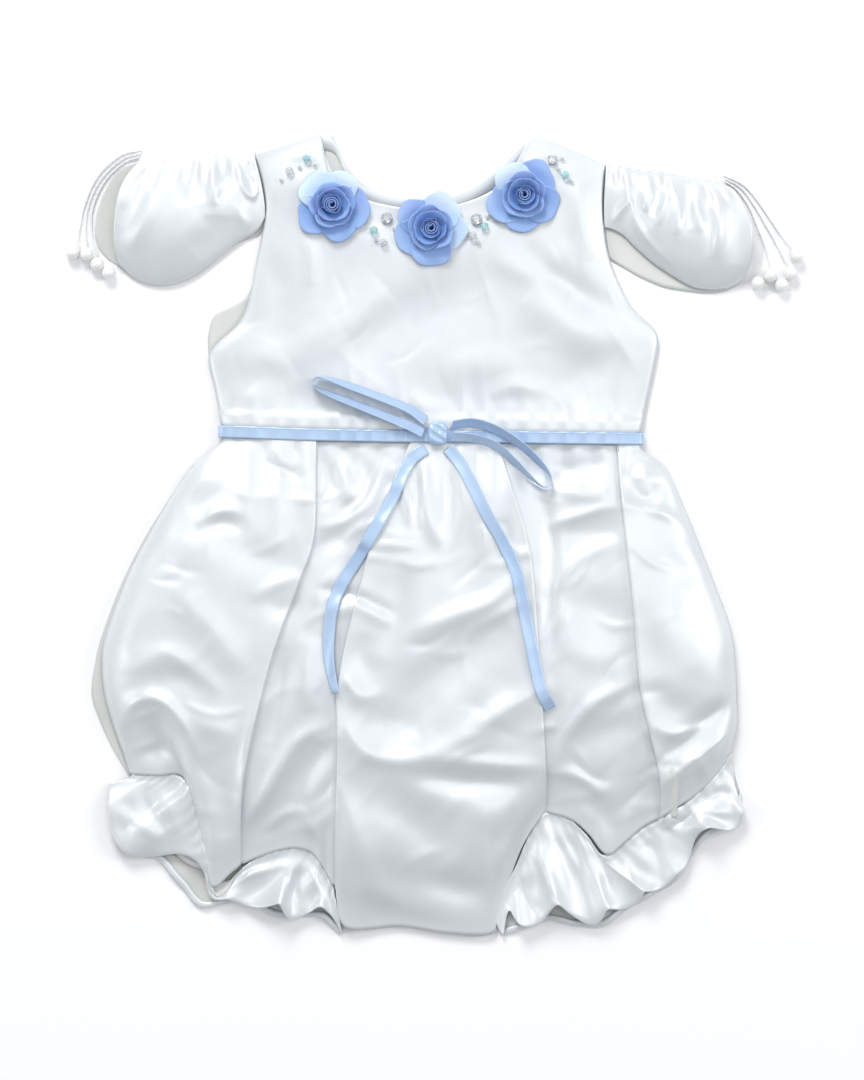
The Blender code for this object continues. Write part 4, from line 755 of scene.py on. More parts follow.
# Front: five panels in one sheet. The rise is a table down from the waist, rounded in from the sides,
# with soft swells at the fold edges, sunk pleats, creases, and gathers at the waist and at the legs.
def makeBloomer(looks):
    v = bloomerValues
    down = seamRows(v["rows"] - 1, v["height"])
    guides = [v["sideLeft"], *v["pleats"], v["sideRight"]]
    overLeft = [True, False, True, False]
    plans, drops, legs, swells, ripples = [], [], [], [], []
    for k, count in enumerate(v["columns"]):
        sunk = k in (1, 3)
        start, end = (np.array(g, float) for g in guides[k:k + 2])
        across = np.linspace(0, 1, count + 1)
        top = waistPart(start[0, 0], end[0, 0], across)
        top[:, 1] -= layers["seamGap"] / 2
        plan = panelPlan(start, end, top, curveAt(v["lowerEdges"][k], across), across, down)
        leg = np.full(plan.shape[:2], layers["restMid"] + v["crotchLift"] if k == 2 else v["legMid"])
        if k == 2:
            near = smoothStep(np.minimum(across, 1 - across) * 4)
            leg = v["legMid"] + (leg - v["legMid"]) * near[None]
        width = plan[:, -1:, 0] - plan[:, :1, 0]
        fromLeft, fromRight = (share[None] * width / v["swellWidth"] for share in (across, 1 - across))
        edges = np.exp(-fromLeft) * (k in (2, 4)) + np.exp(-fromRight) * (k in (0, 2))
        swell = v["edgeSwell"] * edges - v["recess"] * sunk * np.sin(pi * across[None]) ** 0.8
        phase = 2 * pi * v["legWaves"][k] * across + 0.7 * np.sin(7 * across + k)
        ripple = (v["legRise"][k] * np.cos(phase) * np.sin(pi * across) ** 0.5)[None] + 0 * width
        if k > 0:
            fold = pleatTurn(overLeft[k - 1])
            shift = np.dstack([fold[None, :, 0] + 0 * plan[:, :1, 0], np.zeros((len(down), len(fold)))])
            plans.append(plan[:, :1] + shift)
            drops.append(np.repeat(fold[None, :, 1], len(down), axis=0))
            legs.append(np.repeat(legs[-1][:, -1:] if sunk else leg[:, :1], len(fold), axis=1))
            weight = 1 + fold[None, :, 1] / (2 * v["step"])
            swells.append(v["edgeSwell"] * weight + np.zeros((len(down), 1)))
            ripples.append(np.zeros((len(down), len(fold))))
        pick = slice(0 if k == 0 else 1, count + 1 if k == 4 else count)
        plans.append(plan[:, pick])
        drops.append(np.full(plan[:, pick].shape[:2], -2 * v["step"] if sunk else 0.0))
        legs.append(leg[:, pick])
        swells.append((swell + np.zeros((len(down), 1)))[:, pick])
        ripples.append(ripple[:, pick])
    plan, drop, leg, swell, ripple = (np.hstack(part) for part in (plans, drops, legs, swells, ripples))
    x, y = plan[..., 0], plan[..., 1]
    t = np.repeat(down[:, None], x.shape[1], axis=1)
    rise = smoothed(np.interp(down, v["riseAt"], v["riseShare"]) * v["puff"], 7)[:, None]
    base = layers["waistMid"] + rise + (leg - layers["waistMid"]) * smoothStep((t - 0.8) / 0.2)
    side = np.minimum(x - x[:, :1], x[:, -1:] - x)
    inward = quarterRound(side / v["sideRound"])
    free = smoothStep(side / 12) * smoothStep(t / 0.1) * smoothStep((1 - t) / 0.08)
    bumps = free * clothBumps(x, y, v)
    below = 53.0 - y
    gathers = v["gatherShare"] * gatherRise(x, below - 2, v["gathers"])
    gathers *= smoothStep((below - 1) / 8) * smoothStep(side / 8)
    swell = swell * smoothStep(t / 0.12) * smoothStep((1 - t) / 0.12)
    rest = layers["restMid"] + backLift(x, y, layers["backSpread"])
    z = rest + (base - rest) * inward + bumps + gathers + swell + drop
    z += ripple * smoothStep((t - 0.86) / 0.12) * smoothStep(side / 8)
    z = np.maximum(z, rest + (drop + 2 * v["step"]) * (drop < 0))
    front = clothPiece("bloomer_front", np.dstack([plan, z]), [looks["satin"], looks["shadedReverse"]])

    across = np.linspace(0, 1, v["backColumns"])
    down = seamRows(v["backRows"], v["height"])
    top = waistPart(waistSeam[0][0], waistSeam[-1][0], across)
    top[:, 1] -= layers["seamGap"] / 2
    plan = panelPlan(v["sideLeftBack"], v["sideRight"], top, curveAt(v["backLower"], across), across, down)
    x, y = plan[..., 0], plan[..., 1]
    z = backLift(x, y) + layers["backMid"]
    back = clothPiece("bloomer_back", np.dstack([plan, z]), [looks["satin"], looks["shadedReverse"]], faceUp=False)
    return front, back


# Leg frills. Rows: x and y on the gathered edge, then x and y on the hem.
frillValues = dict(
    steps=230, rows=16, hem=3.2, backHem=0.75, waves=7, waveRise=0.6, drawBack=0.022, lean=0.42,
    tuck=4.5, tuckRise=0.9, seamReach=5.0, seamDrop=1.9, hemRest=3.2, hemLift=1.2, lowest=2.6,
    gathers=31, gatherRise=0.12, uneven=(0.35, 16, 31),
    front={
        "frill_front_left": [(-159.1, -132.4, -169.3, -135.1), (-152.1, -133.5, -171, -150.2),
                             (-142.9, -133.5, -165.6, -172.4), (-134.2, -134, -147.2, -174.5),
                             (-128.3, -141, -125.6, -171.8), (-124, -156.2, -118.6, -174.5),
                             (-120.2, -173.4, -117, -189.1), (-113.7, -194, -113.2, -197.7),
                             (-102.9, -186.9, -100.8, -199.4), (-91, -179.4, -86.7, -204.8),
                             (-78.6, -175.1, -73.2, -210.2), (-66.7, -173.4, -61.9, -205.3),
                             (-58.1, -178.3, -55.4, -202.1), (-51.1, -190.7, -48.9, -206.9),
                             (-44.6, -211.2, -43.5, -216.6)],
        "frill_front_right": [(41.3, -214.5, 43.4, -217.2), (45, -197.2, 46.7, -203.7),
                              (52.1, -182.1, 54.2, -214.5), (58.5, -167, 63.9, -211.8),
                              (67.2, -154, 72, -208), (80.1, -158.3, 83.4, -211.2),
                              (89.3, -166.4, 95.8, -212.3), (100.1, -177.8, 106.6, -205.3),
                              (110.9, -170.2, 118.5, -198.3), (121.2, -162.6, 129.8, -191.8),
                              (131.2, -157.4, 141.2, -182.6), (142.0, -151.0, 149.8, -163.2),
                              (151.4, -142.1, 168.7, -160.5), (160.1, -133.5, 174.1, -150.8),
                              (167.6, -123.2, 170.3, -141.6)]},
    back={
        "frill_back_left": [(-160.7, -135.1, -167.7, -142.1), (-148.8, -154.5, -155.3, -171.8),
                            (-136.4, -172.4, -142.9, -176.7), (-122.9, -181.5, -132.1, -189.1),
                            (-111.6, -181, -120.7, -201.5), (-98.6, -179.4, -108.3, -200.4),
                            (-86.7, -180.5, -95.4, -198.3), (-72.1, -183.2, -82.4, -206.4),
                            (-59.7, -191.8, -67.3, -207.5), (-51.1, -201, -54.9, -207.5),
                            (-43.5, -214.6, -44.6, -217.0)],
        "frill_back_right": [(42.9, -213.4, 44.5, -217.2), (52.1, -197.7, 55.8, -213.4),
                             (63.9, -190.2, 69.9, -209.1), (75.8, -184.8, 85, -212.3),
                             (90.4, -187.5, 98, -212.3), (102.8, -189.6, 110.9, -203.1),
                             (119, -182.6, 125.5, -195), (131.4, -170.7, 139, -185.9),
                             (145.5, -155.1, 152, -165.9), (158.4, -141, 169.2, -154),
                             (167.1, -124.3, 173, -141.6)]},
    # Flutes: place along the seam, width, rise at the hem.
    flutes={
        "frill_front_left": [(0.07, 0.05, 2.6), (0.2, 0.07, 3.4), (0.5, 0.05, 3.0), (0.61, 0.03, 4.0),
                             (0.755, 0.05, 11.5), (0.9, 0.035, 4.5)],
        "frill_front_right": [(0.14, 0.045, 5.5), (0.27, 0.055, 9.5), (0.42, 0.04, 5.5),
                              (0.55, 0.03, 7.0), (0.65, 0.04, 3.5), (0.82, 0.05, 11.5), (0.94, 0.03, 4.5)]},
    creases={
        "frill_front_left": [(3.2, 1.8, 0.3, -166, -150, -155, -158, -140, -166),
                             (6, -1.6, 0.0, -158, -138, -148, -146, -138, -160),
                             (4, 1.4, 0.3, -150, -140, -140, -148, -132, -162),
                             (2.6, 2.2, 0.4, -104, -192, -92, -184, -74, -179),
                             (4.5, -1.8, 0.1, -100, -200, -86, -192, -72, -187),
                             (2.6, 2.4, 0.4, -62, -178, -57, -190, -55, -202),
                             (4.2, -4.2, 0.1, -66, -182, -69, -194, -72, -206),
                             (3.2, -1.5, 0.1, -96, -184, -101, -191, -106, -198)],
        "frill_front_right": [(5.0, 2.4, 0.2, 60, -166, 66, -180, 72, -200),
                              (3.2, -2.0, 0.1, 52, -186, 56, -198, 62, -208),
                              (5.5, -2.4, 0.0, 76, -162, 82, -178, 88, -200),
                              (2.8, 1.6, 0.4, 70, -158, 78, -170, 86, -186),
                              (3.0, -2.4, 0.1, 98, -178, 101, -190, 104, -203),
                              (3.0, 1.8, 0.4, 108, -172, 113, -184, 120, -196),
                              (5.0, -2.0, 0.0, 120, -164, 127, -176, 136, -186),
                              (5.0, -3.8, 0.0, 134, -158, 141, -153, 146, -150),
                              (4.0, 2.0, 0.3, 146, -150, 158, -150, 170, -152),
                              (3.6, -1.8, 0.1, 150, -142, 162, -140, 172, -143)]})


# Each frill runs from its gathered edge to its hem, with two rows tucked inward under the bloomer's edge.
# Front: the seam height comes from the bloomer; flutes are bells along the seam that rise with t^1.3 on
# the way down, their sides drawn together and their hems back; creases and noise lie over them.
# Back: a wave of 1 - cos along the hem.
def makeFrills(looks, onBloomer):
    v = frillValues
    places = np.linspace(0, 1, v["steps"])
    down = np.concatenate([[-1, -0.375], np.linspace(0, 1, v["rows"])])[:, None]
    t, tuck = np.clip(down, 0, 1), np.minimum(down, 0)
    made = {}
    for name, table in {**v["front"], **v["back"]}.items():
        gathered, hem = (curveAt([row[k:k + 2] for row in table], places) for k in (0, 2))
        plan = gathered[None] * (1 - t[..., None]) + hem[None] * t[..., None]
        if name in v["back"]:
            z = layers["backMid"] + t * v["waveRise"] * (1 - np.cos(2 * pi * v["waves"] * places))[None]
            grid = turnedHem(np.dstack([plan, z])[2:], v["hem"], side=1, gap=v["backHem"])
            made[name] = clothPiece(name, grid, [looks["satin"], looks["shadedReverse"]], faceUp=False)
            continue
        ends = smoothStep(np.minimum(places, 1 - places) / 0.07)[None]
        tangent = np.gradient(hem, axis=0)
        tangent /= np.linalg.norm(tangent, axis=1, keepdims=True)
        place, width, rise = np.array(v["flutes"][name]).T
        offset = (places[:, None] - place) / width
        bells = np.exp(-(offset**2)) * rise
        flute, lean = bells.sum(axis=1)[None], (bells * offset).sum(axis=1)[None]
        gather = np.cos(2 * pi * v["gathers"] * places + 2.5 * np.sin(9 * places))[None]
        out = (hem - gathered) / np.linalg.norm(hem - gathered, axis=1, keepdims=True)
        inward = (0, 0.8) - out
        inward = inward / np.linalg.norm(inward, axis=1, keepdims=True)
        seam = np.array([onBloomer(*(p + v["seamReach"] * d)) for p, d in zip(gathered, inward)])
        met = seam > 1.1
        seam = smoothed(np.interp(places, places[met], seam[met]), 3)[None] - v["seamDrop"]
        hemRest = v["hemRest"] + v["hemLift"] * ends
        z = seam + (hemRest - seam) * t + ends * flute * t**1.3
        z += v["gatherRise"] * gather * np.exp(-((t / 0.16) ** 2))
        rise, size, seed = v["uneven"]
        folds = creaseRise(plan[..., 0], plan[..., 1], v["creases"][name])
        folds = folds + rise * softNoise(plan[..., 0], plan[..., 1], size, seed)
        z = np.maximum(z + ends * smoothStep(t / 0.25) * folds, v["lowest"]) - v["tuckRise"] * tuck
        back = (t * (1 - v["drawBack"] * flute * t))[..., None]
        plan = gathered[None] * (1 - back) + hem[None] * back - (tuck * v["tuck"])[..., None] * inward[None]
        plan = plan - (v["lean"] * t * lean * ends)[..., None] * tangent[None]
        grid = turnedHem(np.dstack([plan, z]), v["hem"])
        made[name] = clothPiece(name, grid, [looks["satin"], looks["shadedReverse"]])
    return made


# The sleeves.
sleeveValues = dict(
    columns=100, frontRows=56, backRows=26, turn=1.1, puff=11.0, away=0.35, uneven=(0.15, 26, 21),
    swellAt=[0, 0.25, 0.6, 1], swellShare=[0.1, 0.7, 1, 0.85], gathers=11, gatherRise=0.6, crestWave=0.5,
    edges={
        "sleeve_left": dict(
            top=[(-92.1, 203.5), (-102.4, 204), (-110.7, 205.6), (-119.8, 206.7), (-127.2, 206.2),
                 (-134.2, 203.5), (-142.9, 201.9), (-153.7, 201.9)],
            lower=[(-86.7, 171.6), (-91, 164.3), (-102.4, 157), (-119.7, 143), (-129.9, 137.1),
                   (-138, 134.9), (-147.2, 135.4), (-156.4, 139.2), (-165.3, 146.8)],
            lowerBack=[(-86.7, 168.4), (-90, 161.9), (-102.4, 156.5), (-119.7, 142.5), (-129.9, 137.1),
                       (-138, 134.9), (-147.2, 135.4), (-156.4, 139.2), (-165.8, 146.2)],
            mouth=[(-165.3, 146.8), (-166.9, 156), (-166.6, 168.4), (-164.5, 183), (-160.2, 193.2),
                   (-153.7, 201.9)],
            mouthBack=[(-165.8, 146.2), (-172.6, 151.1), (-177.4, 159.7), (-176.9, 173.2),
                       (-172.6, 185.7), (-165, 197), (-153.7, 201.9)],
            creases=[(1.8, 1.8, 0.4, -98, 202, -98, 190, -92, 182, -89, 190, -91, 201),
                     (2, -1.5, 0.1, -94.5, 200, -93.5, 188),
                     (3, -2.2, 0.3, -103, 204, -103, 192, -110, 179),
                     (3, 1.2, 0.2, -99, 180, -99, 172, -94, 166),
                     (3, 2.2, 0.2, -115, 203, -113, 190, -112, 177),
                     (6, -3.0, 0.1, -123, 205, -125, 192, -122, 178),
                     (6, 2.6, 0.2, -134, 200, -145, 177, -158, 153),
                     (4, -1.5, 0.1, -147, 199, -152, 184, -161, 166),
                     (8, -1.8, 0.0, -111, 172, -112, 160, -122, 150),
                     (3, 1.4, 0.2, -152, 198, -158, 188, -163, 176),
                     (9, 1.0, 0.0, -120, 172, -132, 160, -146, 150)]),
        "sleeve_right": dict(
            top=[(100.1, 198.6), (107.7, 198.6), (115.2, 197), (122.8, 195.9), (130.4, 195.4),
                 (143.3, 192.7), (153, 191.1), (163.3, 189.4)],
            lower=[(99.2, 166.2), (103.4, 165.1), (109.3, 161.9), (116.3, 154.9), (127.7, 145.2),
                   (144.4, 134.9), (153, 132.7), (162.2, 132.7), (169.2, 134.9), (174.1, 138.1)],
            lowerBack=[(102.2, 148.9), (112, 143), (119.6, 138.7), (131.4, 133.8), (143.3, 131.7),
                       (153, 130.6), (162.2, 131.1), (169.2, 133.8), (174.1, 137.6)],
            mouth=[(174.1, 138.1), (177.4, 147.3), (178.3, 157.6), (177.2, 167.8), (173.6, 178.1),
                   (168.7, 185.7), (163.3, 189.4)],
            mouthBack=[(174.1, 137.6), (177.7, 147.3), (178.6, 157.6), (177.5, 167.8), (174, 178.1),
                       (169.1, 185.7), (163.3, 189.4)],
            creases=[(2.4, 1.9, 0.5, 112, 197, 111, 188, 113, 176, 119, 162, 130, 150, 142, 139),
                     (3, -2.0, 0.1, 116, 192, 116, 177, 122, 164),
                     (2.6, 1.6, 0.4, 103, 168, 108, 176, 113, 181),
                     (3.2, -2.8, 0.2, 131, 195, 128, 184, 123, 171),
                     (2.6, 1.9, 0.3, 135, 195, 132, 182, 127, 167),
                     (3, 1.5, 0.2, 122, 192, 123, 184, 119, 174),
                     (4, -2.6, 0.1, 142, 191, 143, 180, 142, 165),
                     (3, 1.7, 0.3, 137, 190, 138, 176, 137, 161),
                     (3, 1.8, 0.3, 148, 190, 148, 177, 150, 163),
                     (3, -2.0, 0.2, 152, 189, 153, 176, 156, 164, 155, 150),
                     (4, 2.2, 0.2, 158, 188, 160, 172, 158, 148),
                     (6, -2.0, 0.0, 169, 184, 170, 166, 167, 146),
                     (6, 1.2, 0.1, 128, 156, 140, 146, 152, 142)])})


# A closed sleeve: front rows up to the top fold, a half round over it, and back rows on the floor. The front
# rises as a sine between its edges, with gathers along the fold, and its mouth and armhole edges are curves.
def makeSleeves(looks):
    v = sleeveValues
    along = np.linspace(0, 1, v["columns"])
    made = {}
    for name, edges in v["edges"].items():
        isLeft = name == "sleeve_left"
        away = -v["away"] if isLeft else v["away"]
        armhole = curveAt(bodiceValues["left" if isLeft else "right"], np.linspace(0.5, 1, 120))
        plans = []
        for lower, mouthName, rises in (("lower", "mouth", np.linspace(0, 1, v["frontRows"])),
                                        ("lowerBack", "mouthBack", np.linspace(1, 0, v["backRows"]))):
            top, low = curveAt(edges["top"], along), curveAt(edges[lower], along)
            f, s = rises[:, None, None], along[None, :, None]
            plan = (1 - f) * low[None] + f * top[None]
            mouth = curveAt(edges[mouthName], rises)[:, None]
            startY = (1 - rises) * low[0, 1] + rises * top[0, 1]
            startX = np.interp(startY, armhole[:, 1], armhole[:, 0]) + away
            start = np.stack([startX, startY], axis=-1)[:, None]
            plans.append(plan + (1 - s) ** 2 * (start - plan[:, :1]) + s**2 * (mouth - plan[:, -1:]))
        front, back = plans
        f = np.linspace(0, 1, v["frontRows"])[:, None]
        swell = np.interp(along, v["swellAt"], v["swellShare"])
        swell = np.convolve(np.pad(swell, 10, "edge"), np.ones(21) / 21, "valid")[None]
        gather = np.cos(2 * pi * v["gathers"] * along + 1.5 * np.sin(5 * along))
        gather = (gather * (0.6 + 0.4 * np.sin(17 * along)))[None]
        topMid = layers["backMid"] + 2 * v["turn"]
        z = layers["restMid"] + (topMid - layers["restMid"]) * f
        z = z + v["puff"] * swell * np.sin(pi * f) ** 0.75
        z += v["gatherRise"] * gather * np.sin(pi * np.clip((f - 0.7) / 0.3, 0, 1)) ** 1.2
        free = np.sin(pi * f) ** 0.6 * smoothStep(along / 0.06)[None]
        x, y = front[..., 0], front[..., 1]
        rise, size, seed = v["uneven"]
        z += free * (creaseRise(x, y, edges["creases"]) + rise * softNoise(x, y, size, seed + isLeft))
        turn = np.radians(np.linspace(20, 160, 8))[:, None]
        crest = front[-1] + v["crestWave"] * gather[0][:, None] * np.array([0.0, 1.0])
        bend = crest[None] + (v["turn"] * np.sin(turn))[..., None] * np.array([0.0, 1.0])
        bendZ = layers["backMid"] + v["turn"] + v["turn"] * np.cos(turn) + 0 * along[None]
        height = np.concatenate([z, bendZ, np.full(back.shape[:2], layers["backMid"])])
        grid = np.dstack([np.concatenate([front, bend, back]), height])
        made[name] = clothPiece(name, grid, [looks["satin"], looks["shadedReverse"]])
    return made


# The ribbon tie. Rows of a route: x, y and lean in degrees.
ribbonValues = dict(
    width=6.5, thick=0.45, clear=0.45, steps=150, across=9, cup=0.35,
    knot=(8.3, 54.4, 11.5, 12.5, 5.0),
    loops={
        "bow_loop_left": [(0.6, 54.6, 30), (-9.5, 59.0, 45), (-25.7, 65.6, 50), (-41.9, 72.0, 55),
                          (-54.3, 76.9, 70), (-59.6, 80.6, 90), (-57.4, 84.2, 90), (-52.0, 83.8, 75),
                          (-39.2, 79.6, 55), (-22.8, 73.6, 50), (-7.8, 67.5, 45), (1.8, 61.0, 30)],
        "bow_loop_right": [(15.6, 52.6, 30), (28.3, 51.6, 45), (39.6, 47.6, 50), (48.8, 40.0, 55),
                           (57.4, 31.8, 70), (65.2, 25.6, 90), (69.6, 27.2, 90), (67.7, 34.0, 75),
                           (58.6, 43.6, 55), (47.2, 52.2, 50), (36.4, 57.8, 45), (25.6, 60.2, 40),
                           (15.8, 58.8, 30)]},
    tails={
        "ribbon_tail_left": [(1.6, 46.2, 0), (-5.7, 40.6, 0), (-11.1, 31.8, 5), (-16, 19.9, 10),
                             (-24.1, 5.3, 10), (-33.8, -11.4, 5), (-43, -26, 0), (-48.4, -39, 10),
                             (-50.5, -57.3, 20), (-49.5, -72.5, 35), (-46.2, -85.4, 60)],
        "ribbon_tail_right": [(13.9, 46.2, 0), (20.7, 37.4, 0), (27.2, 25.3, 5), (34.2, 11.2, 10),
                              (42.9, -3.9, 10), (49.9, -19.5, 5), (53.7, -35.7, 0), (56.9, -52.5, 0),
                              (60.2, -69.2, -5), (63.4, -83.3, -10), (68.8, -94.1, 0)]})


# A ribbon's grid: across its width by a lean angle about the path, its edges lifted by a small cup.
def ribbonGrid(centre, side, lean):
    half, cup = ribbonValues["width"] / 2, ribbonValues["cup"]
    place = np.linspace(-1, 1, ribbonValues["across"])[:, None, None]
    wide = np.column_stack([side[:, 0] * np.cos(lean), side[:, 1] * np.cos(lean), np.sin(lean)]) * half
    up = np.column_stack([-side[:, 0] * np.sin(lean), -side[:, 1] * np.sin(lean), np.cos(lean)])
    return centre[None] + place * wide[None] + cup * place**2 * up[None]


# Tails lie on the cloth: the height under five places across, kept at least as high after smoothing.
def makeTail(name, route, height, look):
    v = ribbonValues
    at = curveAt(route, np.linspace(0, 1, v["steps"]))
    plan = at[:, :2]
    run = np.linspace(0, 1, v["steps"])
    lean = np.radians(at[:, 2] + 5 * np.sin(run * 23) * np.sin(pi * run))
    along = np.gradient(plan, axis=0)
    along /= np.linalg.norm(along, axis=1, keepdims=True)
    side = np.stack([-along[:, 1], along[:, 0]], axis=-1)
    reach = v["width"] / 2 * np.maximum(np.cos(lean), 0.2)
    ground = np.array([max(height(*(p + s * r * k)) for k in (-1, -0.5, 0, 0.5, 1))
                       for p, s, r in zip(plan, side, reach)])
    ground = np.maximum(ground, smoothed(ground, 5))
    ground = smoothed(ground, 3) + 0.15
    z = ground + v["clear"] + v["width"] / 2 * np.abs(np.sin(lean)) * 0.85
    centre = np.column_stack([plan, z])
    grid = ribbonGrid(centre, side, lean)
    made = clothPiece(name, grid, [look], thick=v["thick"])
    return made, centre


# Loops go out to a tip and back as a band that leans one way all round.
def makeLoop(name, route, height, look):
    v = ribbonValues
    at = curveAt(route, np.linspace(0, 1, v["steps"]))
    plan, lean = at[:, :2], np.radians(at[:, 2])
    heading = plan[len(plan) // 2] - plan[0]
    heading /= np.linalg.norm(heading)
    side = np.repeat(np.array([[-heading[1], heading[0]]]), len(plan), axis=0)
    half = v["width"] / 2
    under = np.array([max(height(*(p + side[0] * half * k)) for k in (-1, 0, 1)) for p in plan])
    if name.endswith("left"):
        under = np.maximum(under, max(height(*p) for p in plan) - 1.5)
    z = smoothed(under, 5) + 0.55 + half * np.sin(lean) + 0.3
    grid = ribbonGrid(np.column_stack([plan, z]), side, lean)
    return clothPiece(name, grid, [look], thick=v["thick"])


# The band all round the waist: its profile is the cloth's height in front, a half round at each side,
# and the floor. It ripples by a small sine, and its edges lift by a cup where it lies on the cloth.
def makeWaistRibbon(height, look):
    v = ribbonValues
    x = np.linspace(waistSeam[0][0] + 1.5, waistSeam[-1][0] - 1.5, 220)
    y = np.interp(x, *np.array(waistSeam).T)
    half = v["width"] / 2
    top = np.array([max(height(a, b + k * half) for k in (-1, 0, 1)) for a, b in zip(x, y)])
    top = np.maximum(top, smoothed(top, 4)) + 0.35
    front = np.stack([x, top], axis=-1)
    turns = []
    for side, edge in ((1, -1), (-1, 0)):
        endX, endZ = front[edge]
        middle = (endZ + 0.3) / 2
        turn = np.radians(np.linspace(15, 165, 11))
        turns.append(np.stack([endX + side * (2.2 * np.sin(turn) + 1.5 * np.sin(turn) ** 0.5),
                               middle + (middle - 0.3) * np.cos(turn)], axis=-1))
    back = np.stack([x[::-4], np.full(len(x[::-4]), 0.3)], axis=-1)
    ring = np.vstack([front, turns[0], back, turns[1][::-1]])
    seam = np.interp(ring[:, 0], *np.array(waistSeam).T)
    place = np.linspace(-1, 1, v["across"])[:, None]
    ripple = 0.1 * np.sin(ring[:, 0] * 0.31 + 2.5 * np.sin(ring[:, 0] * 0.071))
    z = ring[None, :, 1]
    lift = np.maximum(z + 0.12 * place**2 * (z > 1) + 0.5 * ripple[None] * (z > 4), 0.3)
    wide = seam[None] + place * half + 0.2 * ripple[None]
    grid = np.stack([ring[None, :, 0] + 0 * place, wide, lift], axis=-1)
    return clothPiece("waist_ribbon", grid, [look], thick=v["thick"], ring=True)


# The knot is a pillow: a superellipse in plan whose top is folded by three soft creases across it.
def makeKnot(height, look):
    x, y, width, length, tall = ribbonValues["knot"]
    ground = highestUnder(height, x, y, width / 2, length / 2)
    lat, lon = np.linspace(-pi / 2, pi / 2, 34)[:, None], np.linspace(0, 2 * pi, 64, endpoint=False)[None]

    def power(value, n):
        return np.sign(value) * np.abs(value) ** n

    px = width / 2 * power(np.cos(lat), 0.6) * power(np.cos(lon), 0.7)
    py = length / 2 * power(np.cos(lat), 0.6) * power(np.sin(lon), 0.7)
    pz = tall / 2 * power(np.sin(lat), 0.8) + 0 * lon
    slope = px * 0.6 + py
    pz = pz * (1 + 0.16 * np.cos(slope * 1.25)) - 0.5 * np.exp(-((px - 0.25 * py) / 1.6) ** 2) * (pz > 0)
    pinch = 1 - 0.10 * np.cos(2 * lon)
    grid = np.stack([x + px * pinch, y + py, ground + 0.2 + tall / 2 + pz * 0.88], axis=-1)
    uv = np.stack([px, py], axis=-1)
    made = addPiece("bow_knot", grid, gridFaces(34, 64, ring=True), [look], uv)
    return standsFor(made, "bow_knot")


# Stitches near the waist ribbon's upper edge. Profile: share of the length, share of the width.
stitchValues = dict(
    startX=-106, endX=116, step=3.1, overSeam=2.5, sunk=0.02, slope=-0.02, length=2.1, width=0.42, sides=6,
    profile=[(-0.5, 0.15), (-0.38, 1), (0.38, 1), (0.5, 0.15)])


# One small capsule repeated at each place and turned along the line, joined in one mesh.
def makeStitches(height, look):
    v = stitchValues
    x = np.arange(v["startX"], v["endX"], v["step"])
    y = np.interp(x, *np.array(waistSeam).T) + v["overSeam"]
    z = np.array([height(a, b) for a, b in zip(x, y)]) - v["sunk"]
    places = np.column_stack([x, y, z])
    headings = np.column_stack([np.ones_like(x), np.full_like(x, v["slope"]), np.gradient(z) / v["step"]])
    rings, size = np.array(v["profile"]).T
    angle = np.linspace(0, 2 * pi, v["sides"], endpoint=False)
    base = np.stack([rings[:, None] * v["length"] + 0 * angle,
                     size[:, None] * np.cos(angle) * v["width"] / 2,
                     size[:, None] * np.sin(angle) * v["width"] / 2], axis=-1).reshape(-1, 3)
    along = headings / np.linalg.norm(headings, axis=1, keepdims=True)
    side = np.cross((0, 0, 1.0), along)
    side /= np.linalg.norm(side, axis=1, keepdims=True)
    up = np.cross(along, side)
    points = (places[:, None] + base[None, :, :1] * along[:, None] + base[None, :, 1:2] * side[:, None]
              + base[None, :, 2:] * up[:, None])
    faces = gridFaces(len(rings), v["sides"], ring=True)
    faces = (faces[None] + (np.arange(len(places)) * len(base))[:, None, None]).reshape(-1, 4)
    addPiece("waist_stitches", points, faces, [look], kind="thread")


# The roses.
roseValues = dict(
    width=38.0, thick=0.35, lowest=0.35,
    # Name, centre, the angle of the first outer petal, and which outer petals are pale.
    places=[("rose_left", -48.9, 177.6, 66, (0, 1)), ("rose_centre", 4.5, 165.1, 62, (0, 4)),
            ("rose_right", 54.8, 183, 126, (0,))],
    # Rings of petals: count, petal radius, how far out, base height, tilt, cup, depth of tone.
    rings=[(5, 9.8, 10.6, 1.3, 5, 1.1, 0.34), (5, 7.4, 5.9, 3.2, 26, 1.8, 0.44),
           (4, 6.2, 4.6, 4.8, 40, 1.9, 0.56),
           (3, 4.6, 2.8, 6.2, 58, 1.6, 0.7)], pale=0.02,
    bud=dict(turns=2.4, start=0.5, end=3.4, low=4.2, high=9.4))


# One petal is a cupped disc: height cup r^2, its rim waved by 3 and rolled down, tilted up at its
# inner side, and turned about the middle of the rose.
def petalGrid(radius, out, base, tilt, cup, turn, seed):
    r, a = np.linspace(0.02, 1, 12)[:, None], np.linspace(0, 2 * pi, 40, endpoint=False)[None]
    wave = 1 + 0.05 * np.sin(3 * a + seed) + 0.03 * np.sin(5 * a + 2 * seed)
    px, py = radius * r * wave * np.cos(a), radius * r * wave * np.sin(a) * 1.08
    pz = cup * r**2 * (0.6 + 0.4 * np.sin(2 * a + seed)) + 0.35 * r**2 * np.sin(3 * a + 2 * seed)
    pz = pz - 0.525 * radius * np.clip(px / radius - 0.45, 0, 1) ** 2
    lift = np.radians(tilt)
    qx, qz = px * np.cos(lift) - pz * np.sin(lift), px * np.sin(lift) + pz * np.cos(lift)
    x, z = out + qx, base + qz
    return np.stack([x * np.cos(turn) - py * np.sin(turn), x * np.sin(turn) + py * np.cos(turn), z], axis=-1)


